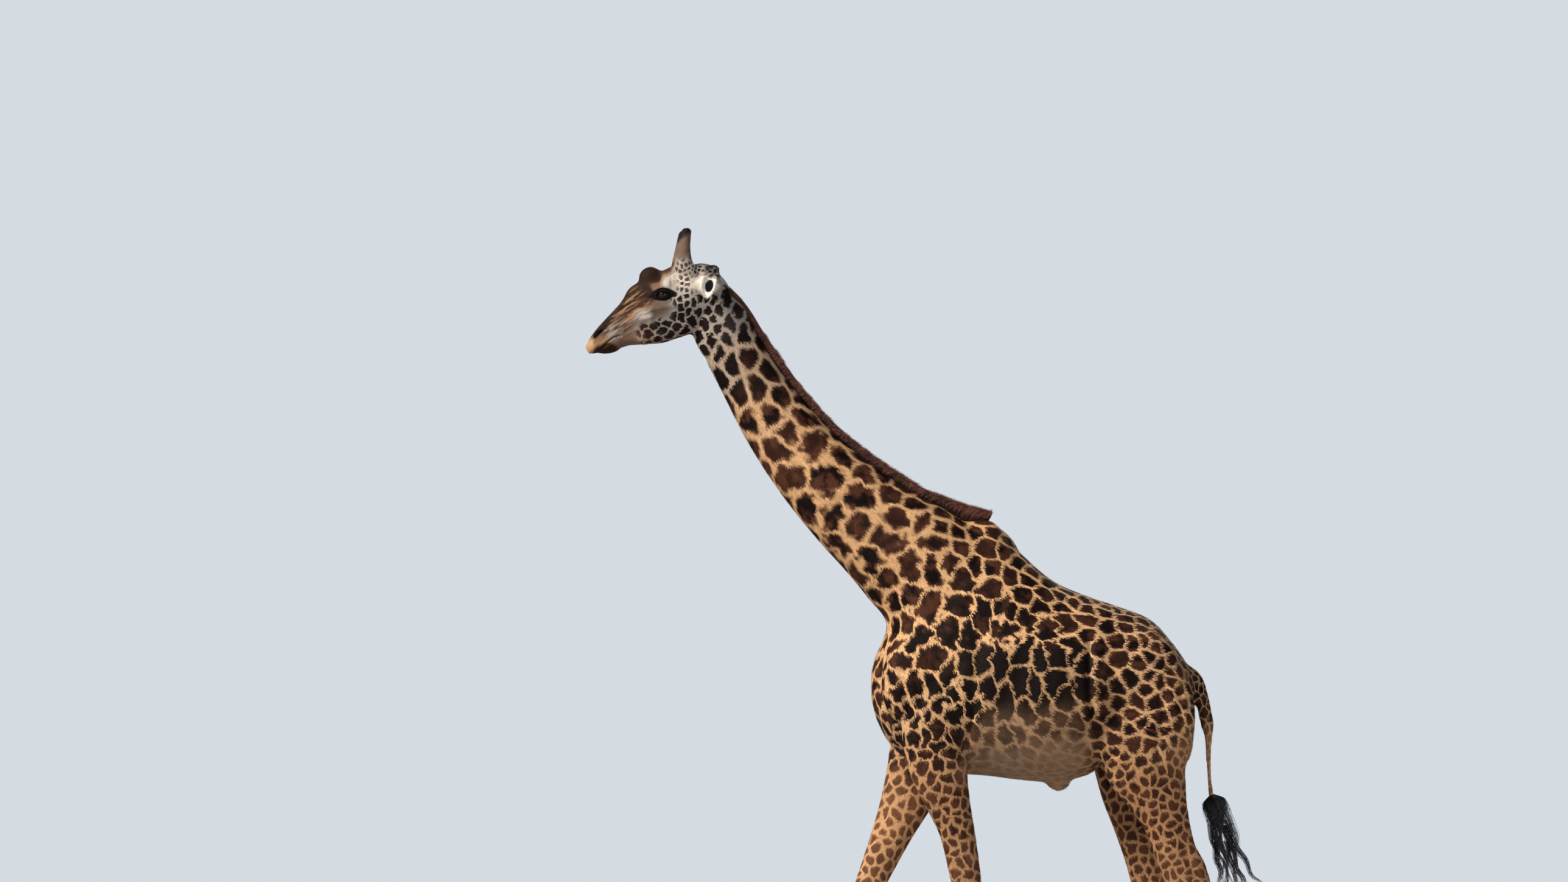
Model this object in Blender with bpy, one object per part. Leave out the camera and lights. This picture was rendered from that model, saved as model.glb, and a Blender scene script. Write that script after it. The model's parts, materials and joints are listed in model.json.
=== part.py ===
"""A bull Masai giraffe in mid stride, as a still life-size model.

The animal faces -X and its left side faces -Y. Z is up and the hooves stand on Z = 0. Every length is in
metres. Flesh is laid down as overlapping forms, lofts through named stations and rounded muscles, which
are fused into one skin, thinned to facets and then parted by thin cuts into the animal's named pieces.
Stations are measured from a point under the withers. At the end the model moves forward to centre it.
"""

import math

import bmesh
import bpy
import numpy as np
from mathutils import Euler, Matrix, Vector

# Driving dimensions.
CENTRING_SHIFT = 0.370
CUT_GAP = 0.0003
HOOF_GAP = 0.001
BODY_VOXEL = 0.013
HEAD_VOXEL = 0.0055
BODY_TRIANGLES = 3300
HEAD_TRIANGLES = 1500
TUFT_TRIANGLES = 360
RING_SIDES = 28
STATION_STEPS = 6
SHARP_ANGLE = 50.0
CREASE_ROUNDS = 80
LEFT, RIGHT = -1, 1

# Places where two forms meet in a crease that is smoothed away, and how far round them.
BODY_CREASES = (((-0.44, -0.18, 2.60), (-0.44, 0.18, 2.60), (-0.30, -0.30, 2.50), (-0.30, 0.30, 2.50), (0.62, -0.26, 2.28), (0.62, 0.26, 2.28)), 0.34)
HEAD_CREASES = (((-1.60, -0.09, 4.02), (-1.57, 0.09, 4.02), (-1.50, -0.06, 4.00), (-1.48, 0.06, 4.00)), 0.15)

# The head's own frame: X along the face from the skull to the lips, Y to the left, Z up from the face.
HEAD_PLACE = Vector((-1.401, 0.0, 4.170))
HEAD_PITCH = 32.0
HEAD_YAW = 8.0

# Colour and roughness of each material.
FINISHES = {
    "coat": ((0.52, 0.30, 0.14, 1.0), 0.75),
    "face": ((0.42, 0.30, 0.22, 1.0), 0.70),
    "mane": ((0.20, 0.06, 0.025, 1.0), 0.80),
    "tail_hair": ((0.015, 0.012, 0.014, 1.0), 0.60),
    "horn": ((0.06, 0.045, 0.035, 1.0), 0.45),
    "eye": ((0.012, 0.008, 0.006, 1.0), 0.08),
}

# Trunk: place along X, height of the back, height of the belly, half width, narrowing towards the back.
TRUNK = {
    "breast_tip": (-0.628, 2.290, 2.140, 0.075, 0.0),
    "breast": (-0.596, 2.400, 2.030, 0.125, 0.0),
    "breastbone": (-0.520, 2.560, 1.905, 0.180, 0.05),
    "shoulder_point": (-0.400, 2.780, 1.820, 0.245, 0.15),
    "shoulder_blade": (-0.230, 2.970, 1.785, 0.295, 0.28),
    "withers": (-0.050, 3.036, 1.770, 0.315, 0.38),
    "girth": (0.090, 2.890, 1.752, 0.350, 0.34),
    "rib_cage": (0.260, 2.738, 1.742, 0.385, 0.24),
    "loin": (0.430, 2.660, 1.775, 0.375, 0.16),
    "flank": (0.570, 2.612, 1.870, 0.315, 0.10),
    "croup": (0.740, 2.545, 1.960, 0.255, 0.08),
    "pelvis": (0.850, 2.430, 1.985, 0.200, 0.05),
    "buttock": (0.920, 2.330, 2.050, 0.130, 0.0),
    "seat": (0.955, 2.266, 2.130, 0.060, 0.0),
}

# Neck: centre in X and Z, half depth from throat to crest, half width.
NECK = {
    "root": (-0.140, 2.570, 0.350, 0.215),
    "base": (-0.395, 2.812, 0.305, 0.222),
    "low": (-0.568, 2.958, 0.262, 0.196),
    "lower_third": (-0.732, 3.100, 0.233, 0.168),
    "middle": (-0.918, 3.290, 0.204, 0.142),
    "upper_third": (-1.088, 3.508, 0.178, 0.120),
    "high": (-1.222, 3.722, 0.155, 0.104),
    "poll_end": (-1.312, 3.882, 0.148, 0.096),
    "throat_latch": (-1.378, 4.010, 0.146, 0.093),
    "skull_joint": (-1.430, 4.110, 0.110, 0.085),
}

# Legs: centre in X and Z, half width fore and aft, half width across, distance out from the midline.
LEGS = {
    "foreleg_left": {
        "upper_arm": (-0.335, 2.140, 0.150, 0.080, 0.205),
        "elbow": (-0.325, 1.960, 0.160, 0.082, 0.222),
        "forearm_top": (-0.303, 1.800, 0.146, 0.080, 0.218),
        "forearm_bulge": (-0.258, 1.640, 0.112, 0.074, 0.210),
        "forearm": (-0.213, 1.490, 0.090, 0.065, 0.203),
        "forearm_low": (-0.176, 1.290, 0.080, 0.058, 0.197),
        "above_knee": (-0.152, 1.140, 0.070, 0.057, 0.193),
        "knee": (-0.138, 1.030, 0.078, 0.070, 0.190),
        "below_knee": (-0.122, 0.920, 0.066, 0.060, 0.188),
        "cannon_top": (-0.104, 0.820, 0.053, 0.048, 0.187),
        "cannon": (-0.068, 0.600, 0.048, 0.041, 0.184),
        "cannon_low": (-0.030, 0.400, 0.052, 0.045, 0.182),
        "fetlock": (-0.012, 0.300, 0.070, 0.064, 0.181),
        "pastern": (-0.042, 0.210, 0.058, 0.060, 0.180),
        "coronet": (-0.072, 0.140, 0.074, 0.076, 0.180),
        "hoof_head": (-0.082, 0.085, 0.072, 0.074, 0.180),
    },
    "foreleg_right": {
        "upper_arm": (-0.350, 2.140, 0.150, 0.080, 0.205),
        "elbow": (-0.370, 1.960, 0.160, 0.082, 0.222),
        "forearm_top": (-0.400, 1.810, 0.152, 0.082, 0.218),
        "forearm_bulge": (-0.448, 1.670, 0.132, 0.077, 0.210),
        "forearm": (-0.520, 1.505, 0.104, 0.067, 0.203),
        "forearm_low": (-0.618, 1.280, 0.080, 0.058, 0.197),
        "above_knee": (-0.680, 1.140, 0.070, 0.057, 0.193),
        "knee": (-0.724, 1.035, 0.078, 0.070, 0.190),
        "below_knee": (-0.762, 0.930, 0.066, 0.060, 0.188),
        "cannon_top": (-0.793, 0.835, 0.053, 0.048, 0.187),
        "cannon": (-0.862, 0.630, 0.048, 0.041, 0.184),
        "cannon_low": (-0.932, 0.430, 0.052, 0.045, 0.182),
        "fetlock": (-0.970, 0.320, 0.070, 0.064, 0.181),
        "pastern": (-1.018, 0.220, 0.058, 0.060, 0.180),
        "coronet": (-1.058, 0.142, 0.074, 0.076, 0.180),
        "hoof_head": (-1.070, 0.085, 0.072, 0.074, 0.180),
    },
    "hindleg_left": {
        "hip": (0.665, 2.330, 0.200, 0.085, 0.165),
        "haunch": (0.695, 2.120, 0.250, 0.110, 0.190),
        "thigh": (0.705, 1.960, 0.240, 0.115, 0.200),
        "stifle": (0.712, 1.810, 0.210, 0.105, 0.202),
        "gaskin_top": (0.752, 1.690, 0.160, 0.088, 0.197),
        "gaskin": (0.804, 1.545, 0.118, 0.070, 0.190),
        "gaskin_low": (0.848, 1.400, 0.106, 0.060, 0.184),
        "above_hock": (0.893, 1.290, 0.114, 0.056, 0.180),
        "hock": (0.912, 1.190, 0.096, 0.062, 0.177),
        "below_hock": (0.924, 1.080, 0.070, 0.057, 0.174),
        "cannon_top": (0.934, 0.950, 0.054, 0.046, 0.172),
        "cannon": (0.950, 0.700, 0.048, 0.041, 0.170),
        "cannon_low": (0.966, 0.430, 0.051, 0.044, 0.168),
        "fetlock": (0.973, 0.305, 0.068, 0.062, 0.166),
        "pastern": (0.944, 0.210, 0.057, 0.058, 0.166),
        "coronet": (0.914, 0.138, 0.073, 0.074, 0.166),
        "hoof_head": (0.904, 0.085, 0.071, 0.072, 0.166),
    },
    "hindleg_right": {
        "hip": (0.660, 2.330, 0.200, 0.085, 0.165),
        "haunch": (0.685, 2.120, 0.245, 0.110, 0.190),
        "thigh": (0.680, 1.960, 0.235, 0.115, 0.200),
        "stifle": (0.665, 1.810, 0.198, 0.105, 0.202),
        "gaskin_top": (0.660, 1.690, 0.155, 0.088, 0.197),
        "gaskin": (0.682, 1.545, 0.120, 0.070, 0.190),
        "gaskin_low": (0.718, 1.400, 0.106, 0.060, 0.184),
        "above_hock": (0.757, 1.285, 0.114, 0.056, 0.180),
        "hock": (0.775, 1.185, 0.096, 0.062, 0.177),
        "below_hock": (0.779, 1.075, 0.070, 0.057, 0.174),
        "cannon_top": (0.772, 0.950, 0.054, 0.046, 0.172),
        "cannon": (0.744, 0.700, 0.048, 0.041, 0.170),
        "cannon_low": (0.710, 0.430, 0.051, 0.044, 0.168),
        "fetlock": (0.694, 0.305, 0.068, 0.062, 0.166),
        "pastern": (0.655, 0.210, 0.057, 0.058, 0.166),
        "coronet": (0.620, 0.138, 0.073, 0.074, 0.166),
        "hoof_head": (0.608, 0.085, 0.071, 0.072, 0.166),
    },
}

# Head: reach along the face, top, bottom, half width, narrowing towards the jaw.
HEAD = {
    "occiput": (-0.050, 0.040, -0.080, 0.070, -0.10),
    "ear_root": (0.020, 0.120, -0.135, 0.098, 0.00),
    "temple": (0.100, 0.170, -0.145, 0.110, 0.12),
    "orbit": (0.190, 0.198, -0.130, 0.107, 0.25),
    "cheek": (0.280, 0.214, -0.112, 0.092, 0.26),
    "face": (0.370, 0.212, -0.088, 0.079, 0.22),
    "bridge": (0.460, 0.180, -0.036, 0.064, 0.16),
    "muzzle": (0.540, 0.158, -0.008, 0.058, 0.06),
    "nostrils": (0.600, 0.140, 0.004, 0.060, 0.00),
    "upper_lip": (0.654, 0.118, 0.030, 0.056, 0.00),
    "lip_end": (0.697, 0.094, 0.050, 0.034, 0.00),
}

# Horns, in the head's frame: reach, distance out, height, half width fore and aft, half width across.
HORN = {
    "skull": (0.094, 0.050, 0.092, 0.064, 0.042),
    "root": (0.082, 0.060, 0.160, 0.058, 0.042),
    "narrowing": (0.061, 0.062, 0.205, 0.044, 0.034),
    "shaft": (0.029, 0.061, 0.252, 0.034, 0.029),
    "upper_shaft": (-0.004, 0.058, 0.292, 0.029, 0.027),
    "crown": (-0.025, 0.055, 0.316, 0.027, 0.027),
    "crown_top": (-0.034, 0.054, 0.329, 0.018, 0.017),
}

# Mane: place of the hair tips in X and Z, half depth, half width.
MANE = {
    "between_ears": (-1.370, 4.230, 0.034, 0.012),
    "poll": (-1.278, 4.160, 0.044, 0.017),
    "high": (-1.165, 4.008, 0.052, 0.020),
    "upper_third": (-1.004, 3.774, 0.053, 0.022),
    "middle": (-0.840, 3.572, 0.052, 0.023),
    "lower_third": (-0.618, 3.380, 0.052, 0.023),
    "low": (-0.405, 3.236, 0.052, 0.023),
    "withers": (-0.228, 3.158, 0.050, 0.022),
    "last_tuft": (-0.090, 3.112, 0.050, 0.018),
    "end": (-0.026, 3.086, 0.036, 0.010),
}

# Tail, its tuft and the tuft's stray locks: centre in X and Z, half depth, half width.
TAIL = {
    "root": (0.895, 2.296, 0.042, 0.050),
    "dock": (0.957, 2.248, 0.042, 0.046),
    "dock_bend": (0.993, 2.156, 0.037, 0.038),
    "dock_low": (1.013, 2.064, 0.035, 0.036),
    "knob": (1.022, 2.020, 0.034, 0.035),
    "below_knob": (1.026, 1.960, 0.021, 0.023),
    "whip": (1.026, 1.860, 0.015, 0.017),
    "whip_low": (1.030, 1.760, 0.013, 0.015),
    "whip_end": (1.040, 1.655, 0.015, 0.016),
}
TUFT = {
    "top": (1.040, 1.682, 0.026, 0.026),
    "crown": (1.050, 1.645, 0.050, 0.044),
    "full": (1.066, 1.580, 0.072, 0.058),
    "body": (1.084, 1.490, 0.070, 0.054),
    "thinning": (1.106, 1.380, 0.060, 0.048),
    "locks": (1.132, 1.260, 0.044, 0.038),
    "lock_ends": (1.154, 1.130, 0.028, 0.026),
    "tip": (1.170, 1.010, 0.008, 0.008),
}
STRAYS = {
    "outer": ((1.100, 1.530, 0.034), (1.150, 1.440, 0.026), (1.205, 1.345, 0.017), (1.256, 1.275, 0.012), (1.300, 1.220, 0.006)),
    "middle": ((1.112, 1.460, 0.034), (1.150, 1.360, 0.025), (1.188, 1.255, 0.015), (1.220, 1.165, 0.006)),
    "inner": ((1.062, 1.480, 0.032), (1.066, 1.370, 0.023), (1.078, 1.262, 0.014), (1.092, 1.165, 0.006)),
}

# Ears, in the head's frame: root, the way they point, the way they open.
EAR = {
    "root": (-0.009, 0.089, 0.070),
    "points": (0.50, 0.75, -0.46),
    "opens": (-0.22, 0.72, 0.62),
    "length": 0.205,
    "half_width": 0.039,
    "thickness": 0.012,
}
EYE = {"reach": 0.243, "out": 0.088, "height": 0.107, "radius": 0.030}
HOOF = {
    "toe": 0.150,
    "heel": 0.098,
    "width": 0.088,
    "cleft": 0.010,
    "toe_height": 0.130,
    "heel_height": 0.075,
    "toe_slope": 0.075,
}


def head_frame():
    """The matrix from the head's own frame to the world."""
    facing = Matrix(((-1, 0, 0), (0, -1, 0), (0, 0, 1))).to_4x4()
    pitch = Matrix.Rotation(math.radians(HEAD_PITCH), 4, "Y")
    yaw = Matrix.Rotation(math.radians(HEAD_YAW), 4, "Z")
    return Matrix.Translation(HEAD_PLACE) @ yaw @ facing @ pitch


def in_head(reach, right, height):
    """A place in the head's frame as a place in the world. Right is positive, towards the world's +Y."""
    return head_frame() @ Vector((reach, -right, height))


def smooth_path(rows, steps=STATION_STEPS):
    """Rows of numbers joined by a Catmull-Rom curve through every row."""
    rows = np.asarray(rows, float)
    ends = np.vstack([2 * rows[0] - rows[1], rows, 2 * rows[-1] - rows[-2]])
    made = []
    for i in range(1, len(ends) - 2):
        before, start, stop, after = ends[i - 1 : i + 3]
        for t in np.arange(steps) / steps:
            bend = (2 * before - 5 * start + 4 * stop - after) * t**2
            turn = (3 * start - before - 3 * stop + after) * t**3
            made.append(0.5 * (2 * start + (stop - before) * t + bend + turn))
    made.append(rows[-1])
    return np.array(made)


def turns(sides):
    return np.linspace(0, 2 * math.pi, sides, endpoint=False)


def headings(path):
    """The unit direction in the side view at each row of a path."""
    along = np.gradient(path[:, :2], axis=0)
    return along / np.linalg.norm(along, axis=1)[:, None]


def add_rings(shape, rings):
    """A closed tube through rings of points, capped by a fan at both ends."""
    loops = [[shape.verts.new(point) for point in ring] for ring in rings]
    sides = len(loops[0])
    for first, second in zip(loops, loops[1:]):
        for i in range(sides):
            j = (i + 1) % sides
            shape.faces.new((first[i], first[j], second[j], second[i]))
    for loop in (loops[0], loops[-1]):
        centre = shape.verts.new(sum((v.co for v in loop), Vector()) / sides)
        for i in range(sides):
            shape.faces.new((loop[i], loop[(i + 1) % sides], centre))


def add_upright_loft(shape, stations, frame=None, across=1.0):
    """Sections square to X, whose width may narrow to one side of their middle."""
    frame = frame or Matrix()
    rings = []
    for x, top, bottom, width, narrowing in smooth_path(list(stations.values())):
        middle, half = (top + bottom) / 2, (top - bottom) / 2
        ring = []
        for turn in turns(RING_SIDES):
            side = width * math.sin(turn) * (1 - across * narrowing * math.cos(turn))
            ring.append(frame @ Vector((x, side, middle + half * math.cos(turn))))
        rings.append(ring)
    add_rings(shape, rings)


def add_limb(shape, stations, side=0, sides=RING_SIDES, steps=STATION_STEPS):
    """Oval sections square to a path in the side view, such as a leg's or the neck's."""
    path = smooth_path([row if len(row) > 3 else (*row, row[2]) for row in stations], steps)
    rings = []
    for row, (along_x, along_z) in zip(path, headings(path)):
        x, z, deep, wide = row[:4]
        out = row[4] if len(row) > 4 else 0.0
        ring = []
        for turn in turns(sides):
            forward = deep * math.cos(turn)
            place = (x - along_z * forward, side * out + wide * math.sin(turn), z + along_x * forward)
            ring.append(place)
        rings.append(ring)
    add_rings(shape, rings)


def add_muscle(shape, centre, radii, pitch=0.0, yaw=0.0, roll=0.0, frame=None):
    """A rounded mass. Pitch turns it in the side view, yaw in the top view and roll in the front view."""
    turned = Euler([math.radians(a) for a in (roll, pitch, yaw)]).to_matrix().to_4x4()
    placed = (frame or Matrix()) @ Matrix.Translation(centre) @ turned @ Matrix.Diagonal((*radii, 1))
    bmesh.ops.create_icosphere(shape, subdivisions=3, radius=1.0, matrix=placed)


def add_pair(shape, centre, radii, pitch=0.0, yaw=0.0, roll=0.0, frame=None):
    """The same muscle on both sides of the body."""
    x, y, z = centre
    for side in (LEFT, RIGHT):
        add_muscle(shape, (x, side * y, z), radii, pitch, side * yaw, side * roll, frame)


def add_body(shape):
    """Trunk, neck and legs, with the muscles that shape them."""
    add_upright_loft(shape, TRUNK)
    add_limb(shape, NECK.values())
    add_pair(shape, (-0.225, 0.160, 2.520), (0.150, 0.090, 0.400), pitch=22, roll=10)  # shoulder blade
    add_pair(shape, (-0.430, 0.180, 2.260), (0.150, 0.108, 0.250), pitch=10, roll=4)  # point of the shoulder
    add_pair(shape, (-0.340, 0.140, 2.580), (0.150, 0.110, 0.280), pitch=-30, roll=12)  # root of the neck
    add_pair(shape, (-0.290, 0.210, 2.080), (0.160, 0.092, 0.230), pitch=10)  # triceps
    add_pair(shape, (-0.490, 0.075, 2.100), (0.110, 0.085, 0.190), pitch=-14)  # breast muscle
    add_muscle(shape, (-0.090, 0.0, 2.880), (0.200, 0.085, 0.145), pitch=20)  # withers
    add_pair(shape, (0.110, 0.190, 2.230), (0.400, 0.170, 0.340), pitch=6)  # ribs
    add_pair(shape, (0.450, 0.215, 2.430), (0.100, 0.060, 0.060), pitch=24)  # point of the hip
    add_pair(shape, (0.640, 0.165, 2.260), (0.250, 0.120, 0.240), pitch=24)  # rump
    add_pair(shape, (0.790, 0.130, 2.070), (0.150, 0.110, 0.260), pitch=-6)  # buttock
    add_pair(shape, (0.590, 0.220, 1.960), (0.150, 0.090, 0.220), pitch=-14)  # thigh
    add_muscle(shape, (0.282, 0.0, 1.752), (0.068, 0.034, 0.058), pitch=24)  # sheath
    for name, stations in LEGS.items():
        side = LEFT if name.endswith("left") else RIGHT
        add_limb(shape, stations.values(), side)
        if name.startswith("hind"):
            x, z, _, _, out = stations["above_hock"]
            add_muscle(shape, (x + 0.088, side * out, z - 0.030), (0.038, 0.034, 0.080), pitch=-12)  # heel bone
        else:
            x, z, _, _, out = stations["knee"]
            add_muscle(shape, (x + 0.054, side * out, z - 0.018), (0.034, 0.042, 0.050))  # back of the knee
        x, z, _, _, out = stations["fetlock"]
        for apart in (-0.028, 0.028):
            add_muscle(shape, (x + 0.050, side * out + apart, z - 0.018), (0.030, 0.025, 0.034))  # dew pads


def add_head(shape):
    """The head with its horns and the neck's upper end, without ears and eyes."""
    frame = head_frame()

    def pair(*details, **angles):
        add_pair(shape, *details, frame=frame, **angles)

    def single(*details, **angles):
        add_muscle(shape, *details, frame=frame, **angles)

    add_upright_loft(shape, HEAD, frame, across=-1.0)
    single((0.240, 0.0, 0.205), (0.064, 0.058, 0.066))  # forehead knob
    single((0.165, 0.0, 0.165), (0.095, 0.080, 0.050))  # brow between the horns
    single((0.345, 0.0, 0.190), (0.080, 0.040, 0.038), pitch=14)  # rough bone above the nose
    single((0.010, 0.0, 0.112), (0.075, 0.070, 0.042), pitch=-30)  # back of the skull
    pair((0.225, 0.072, 0.136), (0.086, 0.042, 0.038), yaw=-8)  # brow ridge
    pair((0.228, 0.064, 0.086), (0.096, 0.046, 0.066), yaw=-8)  # eye socket
    pair((0.340, 0.056, 0.074), (0.140, 0.028, 0.034), yaw=-13, pitch=-4)  # cheek ridge
    pair((0.215, 0.042, -0.030), (0.150, 0.042, 0.094), pitch=-8)  # jaw muscle
    pair((0.400, 0.032, -0.034), (0.160, 0.028, 0.032), pitch=-24)  # jaw bone
    pair((0.030, 0.050, -0.010), (0.095, 0.052, 0.115), pitch=-14)  # nape muscle
    pair((-0.034, 0.034, 0.080), (0.038, 0.032, 0.036))  # knob behind the horn
    pair((0.586, 0.034, 0.104), (0.066, 0.028, 0.030), pitch=14, yaw=4)  # nostril
    single((0.656, 0.0, 0.076), (0.049, 0.055, 0.034), pitch=32)  # upper lip
    single((0.604, 0.0, 0.028), (0.066, 0.042, 0.028), pitch=-24)  # lower lip and chin
    add_limb(shape, list(NECK.values())[6:])
    path = smooth_path(list(HORN.values()))
    for side in (LEFT, RIGHT):
        rings = []
        for reach, out, height, deep, wide in path:
            ring = []
            for turn in turns(RING_SIDES):
                along = deep * math.cos(turn)
                place = (reach + 0.86 * along, side * out + wide * math.sin(turn), height + 0.50 * along)
                ring.append(frame @ Vector(place))
            rings.append(ring)
        add_rings(shape, rings)


def add_mane(shape):
    """The upright crest of hair from between the ears to the withers."""
    path = smooth_path(list(MANE.values()), 2)
    rings = []
    for (x, z, deep, wide), (along_x, along_z) in zip(path, headings(path)):
        x, z = x + along_z * deep, z - along_x * deep
        ring = []
        for turn in turns(10):
            forward = deep * math.cos(turn)
            ring.append((x - along_z * forward, wide * math.sin(turn), z + along_x * forward))
        rings.append(ring)
    add_rings(shape, rings)


def add_tuft(shape):
    """The tail's tuft and the locks that the wind lifts away from it."""
    add_limb(shape, TUFT.values(), sides=16)
    for place, lock in zip((0.016, -0.014, 0.006), STRAYS.values()):
        start = len(shape.verts)
        add_limb(shape, lock, sides=12)
        shape.verts.ensure_lookup_table()
        bmesh.ops.translate(shape, vec=(0.0, place, 0.0), verts=shape.verts[start:])


def add_ear(shape, side):
    """A leaf-shaped ear held out and drooping: a sheet curled round its own hollow."""
    frame = head_frame().to_3x3()
    mirror = Vector((1.0, -side, 1.0))
    out = (frame @ (Vector(EAR["points"]) * mirror)).normalized()
    opening = frame @ (Vector(EAR["opens"]) * mirror)
    opening = (opening - out * opening.dot(out)).normalized()
    across = out.cross(opening).normalized()
    reach, apart, height = EAR["root"]
    root = in_head(reach, side * apart, height)
    rings = []
    for t in np.linspace(0.0, 1.0, 8):
        width = EAR["half_width"] * max(0.06, math.sin(math.pi * (0.13 + 0.87 * t) ** 0.85) ** 0.62)
        cup = width * (0.95 - 0.45 * t)
        bend = 1.25 - 0.25 * t
        thick = EAR["thickness"] * (1.25 - 0.6 * t) / 2
        backs, fronts = [], []
        for turn in np.linspace(-bend, bend, 6):
            curl = across * (width * math.sin(turn) / math.sin(bend)) - opening * (cup * (math.cos(turn) - 0.35))
            away = across * math.sin(turn) - opening * math.cos(turn)
            middle = root + out * (EAR["length"] * t) + curl
            backs.append(middle + away * thick)
            fronts.append(middle - away * thick)
        rings.append(backs + fronts[::-1])
    add_rings(shape, rings)


def add_eye(shape, side):
    centre = in_head(EYE["reach"], side * EYE["out"], EYE["height"])
    bmesh.ops.create_icosphere(shape, subdivisions=2, radius=EYE["radius"], matrix=Matrix.Translation(centre))


def add_claw(shape, x, near, far):
    """One toe of a cloven hoof: a flat sole, a toe that slopes back and rounded walls."""
    rings = []
    middle, half = (near + far) / 2, abs(far - near) / 2
    for level in (0.0, 0.5, 1.0):
        front = -HOOF["toe"] + HOOF["toe_slope"] * level
        back = HOOF["heel"] - 0.012 * level
        ring = []
        for turn in turns(12):
            along, across = math.cos(turn), math.sin(turn)
            taper = 1 - 0.38 * max(0.0, -along) ** 2
            reach = (front + back) / 2 + (back - front) / 2 * along
            share = (1 - along) / 2
            height = HOOF["heel_height"] + (HOOF["toe_height"] - HOOF["heel_height"]) * share
            ring.append((x + reach, middle + half * across * taper * (1 - 0.16 * level), height * level))
        rings.append(ring)
    add_rings(shape, rings)


def mesh_from(builder, *details):
    """A new mesh filled by one of the functions above."""
    shape = bmesh.new()
    builder(shape, *details)
    bmesh.ops.recalc_face_normals(shape, faces=shape.faces)
    mesh = bpy.data.meshes.new("form")
    shape.to_mesh(mesh)
    shape.free()
    return mesh


def material(name):
    """The named finish as a Principled material, made once."""
    found = bpy.data.materials.get(name)
    if found:
        return found
    colour, roughness = FINISHES[name]
    found = bpy.data.materials.new(name)
    found.use_nodes = True
    shader = found.node_tree.nodes["Principled BSDF"]
    shader.inputs["Base Color"].default_value = colour
    shader.inputs["Roughness"].default_value = roughness
    shader.inputs["Metallic"].default_value = 0.0
    found.diffuse_color = colour
    return found


def placed(name, mesh):
    """An object that holds a mesh."""
    made = bpy.data.objects.new(name, mesh)
    bpy.context.scene.collection.objects.link(made)
    return made


def changed(mesh, kind, **settings):
    """A copy of a mesh with one modifier applied to it."""
    holder = placed("holder", mesh.copy())
    modifier = holder.modifiers.new("change", kind)
    for setting, value in settings.items():
        setattr(modifier, setting, value)
    bpy.context.view_layer.update()
    graph = bpy.context.evaluated_depsgraph_get()
    made = bpy.data.meshes.new_from_object(holder.evaluated_get(graph))
    bpy.data.objects.remove(holder)
    return made


def relaxed(mesh, rounds, places=((), 1.0)):
    """Every vertex drawn towards its neighbours, only within a reach of the given places if there are any."""
    points = np.empty(len(mesh.vertices) * 3)
    mesh.vertices.foreach_get("co", points)
    points = points.reshape(-1, 3)
    edges = np.empty(len(mesh.edges) * 2, int)
    mesh.edges.foreach_get("vertices", edges)
    ends, others = np.hstack([edges.reshape(-1, 2).T, edges.reshape(-1, 2).T[::-1]])
    share = np.bincount(ends, minlength=len(points))[:, None]
    centres, reach = places
    weight = np.full(len(points), 0.0 if centres else 1.0)
    for centre in centres:
        near = 1.0 - np.linalg.norm(points - np.array(centre), axis=1) / reach
        weight = np.maximum(weight, np.clip(2.0 * near, 0.0, 1.0))
    for _ in range(rounds):
        means = np.stack([np.bincount(ends, points[others, i], len(points)) for i in range(3)], 1) / share
        points += 0.5 * weight[:, None] * (means - points)
    mesh.vertices.foreach_set("co", points.ravel())
    return mesh


def fused(mesh, voxel, rounds, triangles, creases=((), 1.0)):
    """Overlapping forms made one skin, smoothed and thinned to about that many triangles."""
    mesh = changed(mesh, "REMESH", mode="VOXEL", voxel_size=voxel)
    mesh = relaxed(mesh, rounds)
    if creases[0]:
        mesh = relaxed(mesh, CREASE_ROUNDS, creases)
    mesh.calc_loop_triangles()
    share = triangles / len(mesh.loop_triangles)
    return changed(mesh, "DECIMATE", ratio=share, use_collapse_triangulate=True)


def cut(mesh, tool_mesh, operation="DIFFERENCE"):
    """A mesh less another one, or kept inside it."""
    tool = placed("tool", tool_mesh)
    tool.hide_render = True
    tool.display_type = "WIRE"
    made = changed(mesh, "BOOLEAN", operation=operation, object=tool)
    bpy.data.objects.remove(tool)
    return biggest(made)


def biggest(mesh):
    """The largest closed shell of a mesh, so that no crumb of a cut stays behind."""
    shape = bmesh.new()
    shape.from_mesh(mesh)
    left, best = set(shape.faces), []
    while left:
        shell, edge = [], [left.pop()]
        while edge:
            face = edge.pop()
            shell.append(face)
            for side in face.edges:
                for other in side.link_faces:
                    if other in left:
                        left.remove(other)
                        edge.append(other)
        best = max(best, shell, key=lambda faces: sum(face.calc_area() for face in faces))
    keep = set(best)
    bmesh.ops.delete(shape, geom=[f for f in shape.faces if f not in keep], context="FACES")
    shape.to_mesh(mesh)
    shape.free()
    return mesh


def swollen(mesh, by=CUT_GAP):
    """A mesh pushed out along its normals."""
    return changed(mesh, "DISPLACE", mid_level=0.0, strength=by)


def clear_of(mesh, *others, gap=CUT_GAP):
    """A mesh cut back to leave a thin gap round other meshes."""
    for other in others:
        mesh = cut(mesh, swollen(other, gap))
    return mesh


def slab(profile, near, far, frame=None):
    """An outline in the side view carried from one distance across the body to another."""
    frame = frame or Matrix()
    shape = bmesh.new()
    add_rings(shape, [[frame @ Vector((x, y, z)) for x, z in profile] for y in (near, far)])
    bmesh.ops.recalc_face_normals(shape, faces=shape.faces)
    mesh = bpy.data.meshes.new("slab")
    shape.to_mesh(mesh)
    shape.free()
    return mesh


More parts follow.
